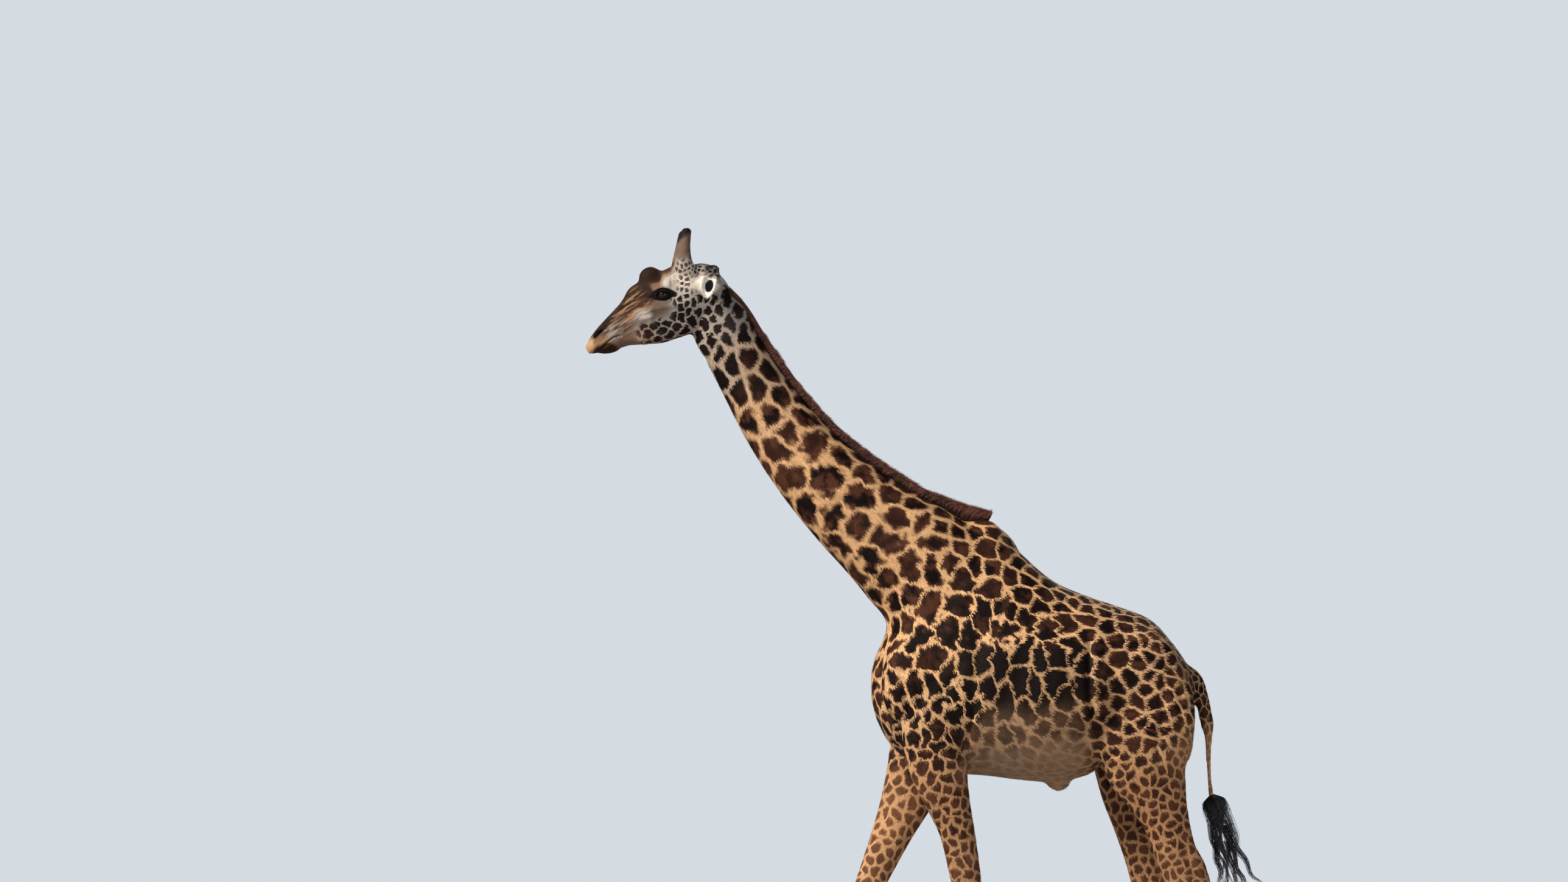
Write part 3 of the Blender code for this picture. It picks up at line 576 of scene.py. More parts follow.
# where forms meet in a crease and are smoothed more
bodyCreases = [(-0.44, 0.18, 2.6), (-0.47, 0.1, 2.5), (-0.3, 0.3, 2.5), (0.62, 0.26, 2.28), (-0.36, 0.24, 2.4)]
headCreases = [(-1.6, -0.09, 4.02), (-1.57, 0.09, 4.02), (-1.5, -0.06, 4.0), (-1.48, 0.06, 4.0)]
faceCreases = [  # reach, distance out and height in the head's frame, then how far round it
    (0.3, 0.0, 0.205, 0.06),
    (0.18, 0.0, 0.215, 0.06),
    (0.24, 0.055, 0.17, 0.055),
    (0.295, 0.06, 0.15, 0.06),
    (0.15, 0.085, 0.13, 0.06),
    (0.3, 0.08, 0.1, 0.05),
    (0.42, 0.0, 0.2, 0.06),
    (0.39, 0.05, 0.01, 0.09),
    (0.48, 0.04, -0.02, 0.07),
    (0.3, 0.07, -0.06, 0.08),
    (0.1, 0.09, -0.07, 0.09),
    (0.03, 0.06, 0.11, 0.06),
    (-0.04, 0.05, 0.02, 0.07),
    (0.52, 0.045, 0.11, 0.05),
    (0.64, 0.05, 0.1, 0.04),
    (0.56, 0.04, 0.02, 0.05),
]


def joinFrame():
    turn = Matrix.Rotation(math.radians(skinSettings["joinSlope"]), 4, "Y")
    return Vector(skinSettings["joinPlace"]), turn.to_3x3() @ Vector((0, 0, 1))


def legLine(name, z):  # middle, half depth and distance out of a leg at each height
    rows = np.array(list(legStations[name].values()))[::-1]
    return [np.interp(z, rows[:, 1], rows[:, i]) for i in (0, 2, 4)]


def makeSkin():
    settings = skinSettings
    body = remeshed(addBody, settings["bodyVoxel"])
    points, ends = pointsOf(body), edgeEnds(body)
    thin = step(0.92, 1.02, points[:, 0]) * step(2.35, 2.2, points[:, 2])  # the tail
    points = relaxed(points, ends, settings["bodyRounds"], 1.0 - 0.75 * thin)
    creases = [(x, side * y, z) for x, y, z in bodyCreases for side in (left, right)]
    near = nearPlaces(points, creases, settings["bodyCreaseReach"])
    setPoints(body, relaxed(points, ends, settings["bodyCreaseRounds"], near))
    head = remeshed(addHead, settings["headVoxel"])
    points, ends = pointsOf(head), edgeEnds(head)
    points = relaxed(points, ends, settings["headRounds"])
    near = nearPlaces(points, headCreases, settings["headCreaseReach"])
    points = relaxed(points, ends, settings["headCreaseRounds"], near)
    weights = [
        nearPlaces(points, [inHead(reach, side * out, height)], wide)
        for reach, out, height, wide in faceCreases
        for side in (left, right)
    ]
    setPoints(head, relaxed(points, ends, settings["faceCreaseRounds"], np.max(weights, 0)))
    place, up = joinFrame()
    joined = bmesh.new()
    for mesh, above in ((body, False), (head, True)):
        part = bmesh.new()
        part.from_mesh(mesh)
        everything = part.verts[:] + part.edges[:] + part.faces[:]
        bmesh.ops.bisect_plane(
            part, geom=everything, plane_co=place, plane_no=up, clear_inner=above, clear_outer=not above
        )
        part.to_mesh(mesh)
        part.free()
        joined.from_mesh(mesh)
    rims = [edge for edge in joined.edges if edge.is_boundary]
    print("rims", len(rims))
    bmesh.ops.bridge_loops(joined, edges=rims)
    bmesh.ops.recalc_face_normals(joined, faces=joined.faces)
    loose = sum(1 for edge in joined.edges if edge.is_boundary)
    mesh = bpy.data.meshes.new("skin")
    joined.to_mesh(mesh)
    joined.free()
    points, ends = pointsOf(mesh), edgeEnds(mesh)
    away = np.abs((points - np.array(place)) @ np.array(up))
    atJoin = (1.0 - step(0.02, 0.06, away)) * (points[:, 2] > 3.6)
    setPoints(mesh, relaxed(points, ends, settings["joinRounds"], atJoin))
    print("skin joined,", len(mesh.polygons), "faces,", loose, "open edges")
    return mesh


skinMesh = makeSkin()


# the folds, lids, nostrils and tendons that the forms leave out
def toHead(points):
    turned = np.array(headMatrix().inverted())
    local = points @ turned[:3, :3].T + turned[:3, 3]
    return local[:, 0], -local[:, 1], local[:, 2]


def awayFromPath(first, second, path):
    path = np.array(path, float)
    best = np.full(len(first), 9.0)
    share = np.zeros(len(first))
    for i, (start, stop) in enumerate(zip(path, path[1:])):
        run = stop - start
        t = np.clip(((first - start[0]) * run[0] + (second - start[1]) * run[1]) / (run @ run), 0, 1)
        away = np.hypot(first - start[0] - t * run[0], second - start[1] - t * run[1])
        nearer = away < best
        best = np.where(nearer, away, best)
        share = np.where(nearer, (i + t) / (len(path) - 1), share)
    return best, share


# grooves in the side view: path in X and Z, half width, depth (less than 0 for a ridge), least distance out
bodyGrooves = {
    "flankFold": (((0.44, 2.46), (0.425, 2.32), (0.425, 2.16), (0.452, 2.03), (0.5, 1.93)), 0.02, 0.022, 0.1),
    "stifleFold": (((0.45, 2.05), (0.41, 1.97), (0.37, 1.88)), 0.026, 0.01, 0.06),
    "stifleEdge": (((0.545, 1.9), (0.535, 1.82), (0.56, 1.74)), 0.022, 0.008, 0.1),
    "shoulderRear": (((-0.1, 2.5), (-0.115, 2.36), (-0.13, 2.2), (-0.15, 2.06)), 0.034, 0.012, 0.12),
    "elbowFold": (((-0.135, 2.12), (-0.15, 2.0), (-0.17, 1.9), (-0.205, 1.82)), 0.016, 0.016, 0.1),
    "elbowWrinkle": (((-0.185, 2.06), (-0.165, 1.97), (-0.19, 1.88)), 0.01, 0.007, 0.12),
    "armFront": (((-0.43, 2.06), (-0.39, 1.93), (-0.36, 1.8)), 0.02, 0.012, 0.12),
    "breastFold": (((-0.51, 2.33), (-0.475, 2.22), (-0.455, 2.08), (-0.45, 1.97)), 0.022, 0.014, 0.05),
    "bladeSpine": (((-0.13, 2.78), (-0.21, 2.58), (-0.3, 2.36)), 0.03, -0.006, 0.12),
    "tricepsLine": (((-0.17, 2.36), (-0.25, 2.22), (-0.33, 2.06)), 0.024, 0.007, 0.14),
    "throatGroove": (
        ((-0.5, 2.76), (-0.68, 2.92), (-0.86, 3.12), (-1.03, 3.36), (-1.16, 3.62)), 0.022, 0.007, 0.05,
    ),
    "neckLine": (((-0.28, 2.86), (-0.48, 3.01), (-0.68, 3.17), (-0.88, 3.37)), 0.035, 0.006, 0.05),
    "hipHollow": (((0.5, 2.4), (0.55, 2.28), (0.56, 2.14)), 0.045, 0.01, 0.12),
    "thighLine": (((0.8, 2.22), (0.78, 2.04), (0.76, 1.88), (0.78, 1.74)), 0.024, 0.007, 0.1),
    "buttockLine": (((0.86, 2.24), (0.875, 2.1), (0.87, 1.96)), 0.018, 0.006, 0.06),
    "kneecap": (((0.555, 1.86), (0.575, 1.8)), 0.034, -0.006, 0.12),
}
ribSettings = {"spacing": 0.075, "depth": 0.0009, "start": -0.02, "end": 0.38, "top": 2.5, "bottom": 2.0}
legDetail = {"tendonDepth": 0.0045, "tendonWidth": 0.01, "hockHollow": 0.012, "kneeCrease": 0.003}

# grooves of the face, in the head's frame: path in reach and height, half width, depth
faceGrooves = {
    "mouth": (
        ((0.69, 0.044), (0.672, 0.038), (0.64, 0.042), (0.6, 0.053), (0.56, 0.058), (0.53, 0.052)), 0.0045, 0.008,
    ),
    "mouthCorner": (((0.545, 0.058), (0.52, 0.04)), 0.007, 0.004),
    "tearDuct": (((0.296, 0.131), (0.318, 0.124), (0.345, 0.112)), 0.006, 0.004),
    "noseVein": (((0.56, 0.105), (0.48, 0.088), (0.4, 0.066), (0.33, 0.03)), 0.01, -0.003),
    "underCheek": (((0.5, 0.062), (0.42, 0.04), (0.36, 0.026)), 0.016, 0.004),
    "masseterFront": (((0.345, 0.04), (0.36, -0.01), (0.35, -0.05)), 0.014, 0.004),
    "jawLine": (((0.47, -0.01), (0.38, -0.042), (0.3, -0.072), (0.22, -0.096)), 0.016, -0.003),
    "cheekRidge": (((0.345, 0.082), (0.29, 0.058), (0.23, 0.036), (0.17, 0.03)), 0.012, -0.0035),
    "templeHollow": (((0.185, 0.15), (0.14, 0.12), (0.11, 0.09)), 0.024, 0.005),
    "throat": (((0.205, -0.15), (0.165, -0.12), (0.12, -0.07)), 0.018, 0.006),
    "throatFold": (((0.235, -0.17), (0.2, -0.19)), 0.012, 0.005),
}
eyeShape = {
    "tilt": 19.0,
    "forward": 0.2,
    "raised": 0.1,
    "halfLength": 0.0295,
    "upper": 0.0165,
    "lower": 0.013,
    "lid": 0.0036,
    "reach": 2.2,
    "fold": 0.0024,
    "crease": (1.62, 0.13),  # where the upper fold lies, as a share of the opening, and how wide it is
    "bag": (1.85, 0.15),
    "rim": (1.12, 0.12),
    "rimHeight": 0.0009,
}
lipShape = {"philtrum": 0.0055, "philtrumWidth": 0.005, "wing": 0.003, "wingPlace": 0.024, "wingWidth": 0.007}
nostrilShape = {
    "place": (0.616, 0.1165), "tilt": -9.0, "halfLength": 0.031, "halfWidth": 0.0085, "depth": 0.016,
    "rim": 0.0045,
}


def eyeAxes(side):
    turned = headMatrix().to_3x3()
    outward = Vector((eyeShape["forward"], -side * 1.0, eyeShape["raised"])).normalized()
    tilt = math.radians(eyeShape["tilt"])
    ahead = Vector((math.cos(tilt), 0.0, math.sin(tilt)))
    ahead = (ahead - outward * ahead.dot(outward)).normalized()
    above = outward.cross(ahead) * (1 if side == left else -1)
    if above.z < 0:
        above = -above
    return [np.array(turned @ axis) for axis in (ahead, above, outward)]


def eyeCentre(side):
    low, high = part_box("eye_left" if side == left else "eye_right")
    return np.array((low + high) / 2) - np.array((forward, 0.0, 0.0))


def eyeRadius():
    low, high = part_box("eye_left")
    return (high.z - low.z) / 2


def eyePlaces(points, side):
    ahead, above, outward = eyeAxes(side)
    local = points - eyeCentre(side)
    return local @ ahead, local @ above, local @ outward


def eyeOpening(u, v):
    height = np.where(v > 0, eyeShape["upper"], eyeShape["lower"])
    skew = v - 0.12 * u
    return np.sqrt((u / eyeShape["halfLength"]) ** 2 + (skew / height) ** 2)


def nostrilSlit(reach, height, widening=1.0):
    shape, tilt = nostrilShape, math.radians(nostrilShape["tilt"])
    ahead, above = reach - shape["place"][0], height - shape["place"][1]
    along = ahead * math.cos(tilt) + above * math.sin(tilt)
    across = -ahead * math.sin(tilt) + above * math.cos(tilt) + 9.0 * along**2  # 9 bends the slit
    return np.sqrt((along / shape["halfLength"]) ** 2 + (across / (widening * shape["halfWidth"])) ** 2)


def shapeEye(points, side):
    u, v, w = eyePlaces(points, side)
    radius, opening = eyeRadius(), eyeOpening(u, v)
    flat, lidded = u**2 + v**2, (radius + eyeShape["lid"]) ** 2
    lid = np.sqrt(np.maximum(lidded - flat, 1e-8))
    share = 1.0 - step(1.0, eyeShape["reach"], opening)
    least = np.where(flat < radius**2, lid - 0.002, -1)
    target = np.where(flat < lidded, np.maximum(w + (lid - w) * share, least), w)
    crease, bag, rim = (bump(opening - eyeShape[key][0], eyeShape[key][1]) for key in ("crease", "bag", "rim"))
    folds = crease * (v > 0) + bag * np.where(v > 0, 0.0, 0.8)
    target = target - eyeShape["fold"] * folds + eyeShape["rimHeight"] * rim
    deep = np.sqrt(np.maximum((radius - 0.005) ** 2 - flat, 1e-8))
    hidden = 1.0 - step(0.93, 1.03, opening)
    target = target * (1 - hidden) + deep * hidden
    near = (np.hypot(u, v) < 0.085) & (w > -0.025)
    return points + np.where(near, target - w, 0.0)[:, None] * eyeAxes(side)[2]


def shapeSkin(mesh):
    points, normals, ends = pointsOf(mesh), normalsOf(mesh), edgeEnds(mesh)
    x, y, z = points.T
    onHead = headShare(points)
    outward = step(0.15, 0.55, np.abs(normals[:, 1]))
    depth = np.zeros(len(points))
    for path, width, deep, out in bodyGrooves.values():
        away, share = awayFromPath(x, z, path)
        fade = step(0.0, 0.18, share) * step(1.0, 0.82, share)
        depth += deep * fade * bump(away, width) * outward * step(out - 0.03, out + 0.02, np.abs(y))
    ribs = ribSettings
    bars = np.cos(2 * math.pi * (x - 0.12 * (z - 2.2)) / ribs["spacing"])
    area = step(ribs["start"], ribs["start"] + 0.1, x) * step(ribs["end"], ribs["end"] - 0.1, x)
    area = area * step(ribs["top"], ribs["top"] - 0.15, z) * step(ribs["bottom"], ribs["bottom"] + 0.12, z)
    depth += ribs["depth"] * bars * area * outward
    for name in legs:
        middle, deep, _ = legLine(name, z)
        mine = (y * sideOf(name) > 0.05) & (z < 1.9) & (np.abs(x - middle) < 1.5 * deep)
        cannon = step(0.3, 0.42, z) * step(1.06, 0.92, z) * mine
        tendon = bump(x - middle - 0.3 * deep, legDetail["tendonWidth"]) * outward
        depth += legDetail["tendonDepth"] * cannon * tendon
        if name.startswith("hind"):
            hollow = np.exp(-(((x - middle - 0.42 * deep) / 0.022) ** 2) - ((z - 1.34) / 0.1) ** 2) * outward
            depth += legDetail["hockHollow"] * hollow * mine
        else:
            crease = bump(z - 1.085, 0.012) + bump(z - 0.975, 0.012)
            depth += legDetail["kneeCrease"] * crease * mine
    depth *= 1.0 - onHead
    points = points - depth[:, None] * normals
    reach, apart, height = toHead(points)
    normals = normalsOf(mesh)
    sideways = step(0.2, 0.6, np.abs(normals[:, 1]))
    depth = np.zeros(len(points))
    for name, (path, width, deep) in faceGrooves.items():
        away, share = awayFromPath(reach, height, path)
        fade = step(0.0, 0.1, share) * step(1.0, 0.85, share) if name != "mouth" else step(1.0, 0.9, share)
        facing = sideways if name != "mouth" else step(0.0, 0.012, np.abs(apart))
        depth += deep * fade * bump(away, width) * facing
    lip = lipShape
    philtrum = bump(apart, lip["philtrumWidth"]) * step(0.655, 0.685, reach) * step(0.125, 0.105, height)
    depth += lip["philtrum"] * philtrum * step(0.035, 0.05, height)
    wing = bump(np.abs(apart) - lip["wingPlace"], lip["wingWidth"]) * step(0.64, 0.668, reach)
    depth += lip["wing"] * wing * step(0.06, 0.075, height) * step(0.125, 0.11, height)
    slit = nostrilSlit(reach, height)
    opening = nostrilShape["depth"] * (1 - step(0.45, 1.0, slit)) - nostrilShape["rim"] * bump(slit - 1.45, 0.35)
    depth += step(0.012, 0.03, np.abs(apart)) * opening
    points = points - (depth * onHead)[:, None] * normals
    for side in (left, right):
        points = shapeEye(points, side)
    soften = 0.1 * nearPlaces(points, [eyeCentre(side) for side in (left, right)], 0.12)
    outside = step(0.9, 1.5, eyeOpening(*eyePlaces(points, left)[:2]))
    setPoints(mesh, relaxed(points, ends, 2, np.clip(onHead * 0.35 + soften, 0, 1) * outside))


def headShare(points):
    place, up = joinFrame()
    rise = (points - np.array(place)) @ np.array(up)
    return step(-0.02, 0.05, rise) * (points[:, 0] < -0.9)


finerParts = {"eye": 0.06, "mouth": 0.012, "nostril": 0.045}  # how far round each the mesh is made finer


def refineHead(mesh):
    shape = bmesh.new()
    shape.from_mesh(mesh)
    shape.verts.ensure_lookup_table()
    points = np.array([v.co for v in shape.verts])
    reach, apart, height = toHead(points)
    wanted = np.zeros(len(points), bool)
    for side in (left, right):
        u, v, w = eyePlaces(points, side)
        wanted |= (np.hypot(u, v * 1.3) < finerParts["eye"]) & (w > -0.01)
    away, _ = awayFromPath(reach, height, faceGrooves["mouth"][0])
    wanted |= (away < finerParts["mouth"]) & (reach > 0.5)
    away = np.hypot(reach - nostrilShape["place"][0], height - nostrilShape["place"][1])
    wanted |= (away < finerParts["nostril"]) & (np.abs(apart) > 0.012)
    wanted &= headShare(points) > 0.9
    edges = [edge for edge in shape.edges if wanted[edge.verts[0].index] and wanted[edge.verts[1].index]]
    bmesh.ops.subdivide_edges(shape, edges=edges, cuts=1, use_grid_fill=True, smooth=0.6)
    bmesh.ops.triangulate(shape, faces=[face for face in shape.faces if len(face.verts) > 4])
    shape.to_mesh(mesh)
    shape.free()


refineHead(skinMesh)
shapeSkin(skinMesh)
print("skin shaped,", len(skinMesh.polygons), "faces")


# where each part of the coat lies, and which way its hair runs
bodyAxis = [(1.02, 2.16), (0.8, 2.24), (0.5, 2.22), (0.2, 2.27), (-0.06, 2.42), (-0.3, 2.68)]
bodyAxis += [(row[0], row[1]) for row in list(neckStations.values())[2:]]
coatDepth = {"body": 0.0042, "leg": 0.0026, "head": 0.0017, "ear": 0.0012, "horn": 0.0015, "tail": 0.0024}


batch = 20000  # points handled at once


def axisPlaces(points):
    path = smoothPath(np.array(bodyAxis), 24)
    runs = np.vstack([[0, 0], np.diff(path, axis=0)])
    length = np.cumsum(np.hypot(runs[:, 0], runs[:, 1]))
    along = headings(path)
    flat = points[:, [0, 2]]
    nearest = np.empty(len(points), int)
    for start in range(0, len(points), batch):
        part = slice(start, start + batch)
        nearest[part] = ((flat[part, None] - path[None]) ** 2).sum(2).argmin(1)
    offset = flat - path[nearest]
    tangent = along[nearest]
    s = length[nearest] + (offset * tangent).sum(1)
    n = offset[:, 0] * -tangent[:, 1] + offset[:, 1] * tangent[:, 0]
    return s, -n, tangent


legTops = {"fore": 2.1, "hind": 2.04}  # height where each leg's hair starts to run down


def legShares(points):
    x, y, z = points.T
    shares = np.zeros((4, len(points)))
    down = np.zeros((len(points), 3))
    for i, name in enumerate(legs):
        middle, deep, _ = legLine(name, z)
        top = legTops[name[:4]]
        shares[i] = step(top, top - 0.32, z) * step(1.45, 1.15, np.abs(x - middle) / deep) * (y * sideOf(name) > 0)
        slope = (legLine(name, z + 0.04)[0] - legLine(name, z - 0.04)[0]) / 0.08
        down += shares[i][:, None] * unit(np.stack([-slope, 0 * z, -np.ones(len(z))], 1))
    return shares, down


def earShares(points):
    shares, along = [], np.zeros((len(points), 3))
    for side in (left, right):
        t, sideways, ahead, (out, _, _) = earPlaces(points, side)
        share = step(0.012, 0.035, t) * step(0.075, 0.055, np.hypot(sideways, ahead)) * (t < 0.25)
        shares.append(share)
        along += share[:, None] * out
    return shares, along


def hornShare(points):
    reach, apart, height = toHead(points)
    rows = np.array(list(hornStations.values()))
    away, _ = awayFromPath(reach, height, rows[:, [0, 2]])
    return step(0.155, 0.2, height) * step(0.075, 0.06, away) * (reach < 0.16) * (np.abs(apart) < 0.11)


def tailShare(points):
    rows = np.array(list(tailStations.values()))
    away, _ = awayFromPath(points[:, 0], points[:, 2], rows[1:, :2])
    inside = (points[:, 0] > 0.9) & (np.abs(points[:, 1]) < 0.07)
    return step(0.075, 0.055, away) * inside * step(2.3, 2.22, points[:, 2])


def fields(points):
    s, n, tangent = axisPlaces(points)
    shares, down = legShares(points)
    ears, earAlong = earShares(points)
    horn, tail, onHead = hornShare(points), tailShare(points), headShare(points)
    leg, ear = shares.max(0), np.maximum(*ears)
    turned = np.array(headMatrix().to_3x3())
    flow = np.stack([-tangent[:, 0], 0 * s, -tangent[:, 1]], 1)
    flow[:, 2] -= 0.35 * step(0.3, 0.9, np.abs(points[:, 1]) / 0.35) * (1 - onHead)  # the flanks' hair droops
    hornUp = turned @ np.array([-0.45, 0.0, 0.9])
    tailDown = np.array([0.15, 0.0, -1.0])
    for share, way in (
        (leg, down), (onHead, onHead[:, None] * -turned[:, 0]), (horn, horn[:, None] * hornUp),
        (ear, earAlong), (tail, tail[:, None] * tailDown),
    ):
        flow = flow * (1 - share)[:, None] + way
    reach, apart, height = toHead(points)
    hairPlace = np.stack([s, n, points[:, 1]], 1)
    limb = np.maximum(leg, tail)
    for share, place in ((limb, points[:, [2, 0, 1]]), (onHead, np.stack([reach, height, apart], 1))):
        hairPlace = hairPlace * (1 - share)[:, None] + share[:, None] * place
    return {
        "s": s, "n": n, "legs": shares, "leg": leg, "ears": ears, "ear": ear, "horn": horn, "tail": tail,
        "head": onHead, "flow": flow, "hairPlace": hairPlace, "reach": reach, "apart": apart, "height": height,
    }


# markings: patches grow round scattered seeds, and each zone sets their size and look
# zone: place in X and Z, patch length along X and Z, gap, softness, raggedness, grey, umber, darkness, fading;
# umber is dark brown hair on the face and painted shade on the flanks, belly, elbows, thighs and lower legs
coatZones = {
    "napeHigh": (-1.275, 4.035, 0.06, 0.125, 0.2, 0.08, 0.12, 0.8, 0.1, 1.05, 0),
    "throatHigh": (-1.345, 3.795, 0.095, 0.125, 0.18, 0.08, 0.12, 0.7, 0.1, 1.05, 0),
    "neckHigh": (-1.215, 3.795, 0.1, 0.12, 0.19, 0.12, 0.12, 0.5, 0.12, 0.9, 0),
    "neckUpper": (-1.15, 3.495, 0.13, 0.125, 0.17, 0.13, 0.18, 0.12, 0.1, 0.72, 0),
    "neckMiddle": (-0.93, 3.315, 0.165, 0.14, 0.155, 0.14, 0.22, 0, 0.12, 0.7, 0),
    "neckLow": (-0.72, 3.015, 0.16, 0.155, 0.165, 0.17, 0.26, 0.02, 0.16, 0.72, 0),
    "neckRoot": (-0.54, 2.85, 0.15, 0.145, 0.16, 0.15, 0.28, 0, 0.14, 0.72, 0),
    "neckTop": (-0.48, 3.225, 0.115, 0.095, 0.16, 0.08, 0.16, 0, 0.14, 0.7, 0),
    "shoulderTop": (-0.21, 3.015, 0.1, 0.1, 0.18, 0.06, 0.16, 0, 0.1, 0.68, 0),
    "withers": (0.0, 2.895, 0.088, 0.085, 0.13, 0.04, 0.16, 0.0, 0.1, 0.76, 0.0),
    "shoulder": (-0.36, 2.715, 0.108, 0.14, 0.14, 0.05, 0.24, 0.0, 0.0, 0.72, 0.0),
    "shoulderMiddle": (-0.18, 2.595, 0.115, 0.13, 0.12, 0.04, 0.28, 0.0, 0.0, 0.88, 0.0),
    "breastHigh": (-0.54, 2.475, 0.105, 0.115, 0.18, 0.09, 0.28, 0.0, 0.06, 0.7, 0.0),
    "breast": (-0.59, 2.25, 0.085, 0.095, 0.19, 0.09, 0.34, 0.08, 0.0, 0.66, 0.0),
    "arm": (-0.39, 2.325, 0.112, 0.118, 0.14, 0.06, 0.36, 0, 0, 0.86, 0),
    "backFront": (0.18, 2.805, 0.082, 0.074, 0.16, 0.03, 0.15, 0, 0, 0.86, 0),
    "back": (0.42, 2.67, 0.08, 0.064, 0.17, 0.03, 0.15, 0.12, 0, 0.84, 0),
    "croup": (0.63, 2.595, 0.066, 0.06, 0.18, 0.03, 0.14, 0.2, 0, 0.8, 0),
    "side": (0, 2.475, 0.13, 0.14, 0.1, 0.04, 0.34, 0, 0.04, 0.84, 0),
    "sideRear": (0.24, 2.49, 0.115, 0.11, 0.1, 0.03, 0.3, 0.0, 0.0, 0.86, 0.0),
    # the flank rows' umber is painted shade
    "flank": (-0.03, 2.2, 0.068, 0.185, 0.11, 0.05, 0.16, 0.05, 0.5, 1.2, 0),
    "flankHigh": (0.05, 2.3, 0.075, 0.18, 0.09, 0.05, 0.18, 0.02, 0.36, 1.15, 0),
    "flankBack": (0.24, 2.2, 0.08, 0.18, 0.1, 0.05, 0.18, 0.05, 0.46, 1.2, 0),
    "flankMiddle": (0.15, 2.19, 0.078, 0.18, 0.1, 0.05, 0.18, 0.05, 0.46, 1.2, 0),
    "flankRear": (0.32, 2.26, 0.09, 0.16, 0.09, 0.05, 0.26, 0.05, 0.4, 1.2, 0),
    # the belly rows' umber is partly painted shade
    "bellySide": (0, 1.975, 0.08, 0.1, 0.16, 0.15, 0.3, 0.3, 0.46, 0.8, 0.16),
    "bellySideRear": (0.25, 2.01, 0.08, 0.095, 0.16, 0.15, 0.3, 0.28, 0.46, 0.8, 0.14),
    "belly": (0, 1.8, 0.07, 0.07, 0.24, 0.2, 0.2, 0.52, 0.46, 0.42, 0.66),
    "bellyRear": (0.27, 1.84, 0.06, 0.06, 0.24, 0.2, 0.2, 0.42, 0.46, 0.42, 0.66),
    "hip": (0.4, 2.475, 0.098, 0.098, 0.13, 0.03, 0.2, 0, 0, 0.78, 0),
    "haunch": (0.57, 2.325, 0.09, 0.094, 0.15, 0.03, 0.18, 0.12, 0, 0.7, 0),
    "rump": (0.78, 2.4, 0.06, 0.064, 0.16, 0.03, 0.15, 0.2, 0, 0.68, 0),
    "seat": (0.86, 2.16, 0.066, 0.072, 0.16, 0.05, 0.18, 0, 0.12, 0.7, 0),
    # the thigh and stifle rows' umber is painted shade
    "thigh": (0.48, 2.085, 0.088, 0.092, 0.15, 0.05, 0.24, 0, 0.32, 0.8, 0),
    "thighRear": (0.72, 2.04, 0.072, 0.074, 0.16, 0.06, 0.2, 0, 0.26, 0.72, 0),
    "stifle": (0.56, 1.86, 0.058, 0.062, 0.22, 0.09, 0.3, 0, 0.34, 0.75, 0),
    # the lower hind legs' umber is painted shade
    "gaskin": (0.74, 1.62, 0.048, 0.052, 0.24, 0.11, 0.3, 0, 0.42, 0.7, 0),
    "hock": (0.86, 1.2, 0.044, 0.048, 0.25, 0.12, 0.3, 0.06, 0.42, 0.6, 0.05),
    "hindCannon": (0.86, 0.7, 0.048, 0.052, 0.26, 0.14, 0.3, 0.2, 0.42, 0.44, 0.22),
    "hindFoot": (0.85, 0.25, 0.04, 0.04, 0.28, 0.15, 0.3, 0.3, 0.42, 0.3, 0.55),
    # the elbow, arm and near foreleg rows' umber is painted shade
    "elbow": (-0.2, 2.115, 0.082, 0.11, 0.14, 0.05, 0.4, 0.05, 0.16, 1.1, 0),
    "armLow": (-0.3, 1.96, 0.064, 0.074, 0.16, 0.07, 0.38, 0.02, 0.22, 0.86, 0),
    "armFront": (-0.44, 2.04, 0.072, 0.085, 0.18, 0.08, 0.4, 0.08, 0.14, 0.9, 0),
    "forearm": (-0.26, 1.62, 0.05, 0.055, 0.23, 0.11, 0.34, 0, 0.44, 0.72, 0),
    # the far foreleg's rows (farForearm, farKnee, farCannon, farFoot) leave out the umber and have paler patches
    # than the near foreleg's: painted light
    "farForearm": (-0.5, 1.6, 0.055, 0.06, 0.28, 0.14, 0.3, 0.08, 0, 0.46, 0.06),
    "knee": (-0.14, 1.06, 0.044, 0.048, 0.25, 0.12, 0.3, 0.06, 0.46, 0.6, 0.06),
    "farKnee": (-0.73, 1.04, 0.046, 0.05, 0.26, 0.12, 0.3, 0.1, 0.0, 0.38, 0.12),
    "foreCannon": (-0.06, 0.62, 0.048, 0.052, 0.26, 0.14, 0.3, 0.2, 0.42, 0.44, 0.24),
    "farCannon": (-0.87, 0.62, 0.048, 0.052, 0.26, 0.14, 0.3, 0.22, 0.0, 0.32, 0.28),
    "foreFoot": (-0.03, 0.25, 0.04, 0.04, 0.28, 0.15, 0.3, 0.3, 0.42, 0.3, 0.55),
    "farFoot": (-0.99, 0.25, 0.04, 0.04, 0.28, 0.15, 0.3, 0.3, 0.05, 0.3, 0.55),
    "dock": (0.985, 2.18, 0.03, 0.045, 0.14, 0.1, 0.3, 0.1, 0.36, 0.85, 0),
    "whip": (1.028, 1.86, 0.022, 0.035, 0.3, 0.16, 0.2, 0.05, 0.3, 0.6, 0.35),
}
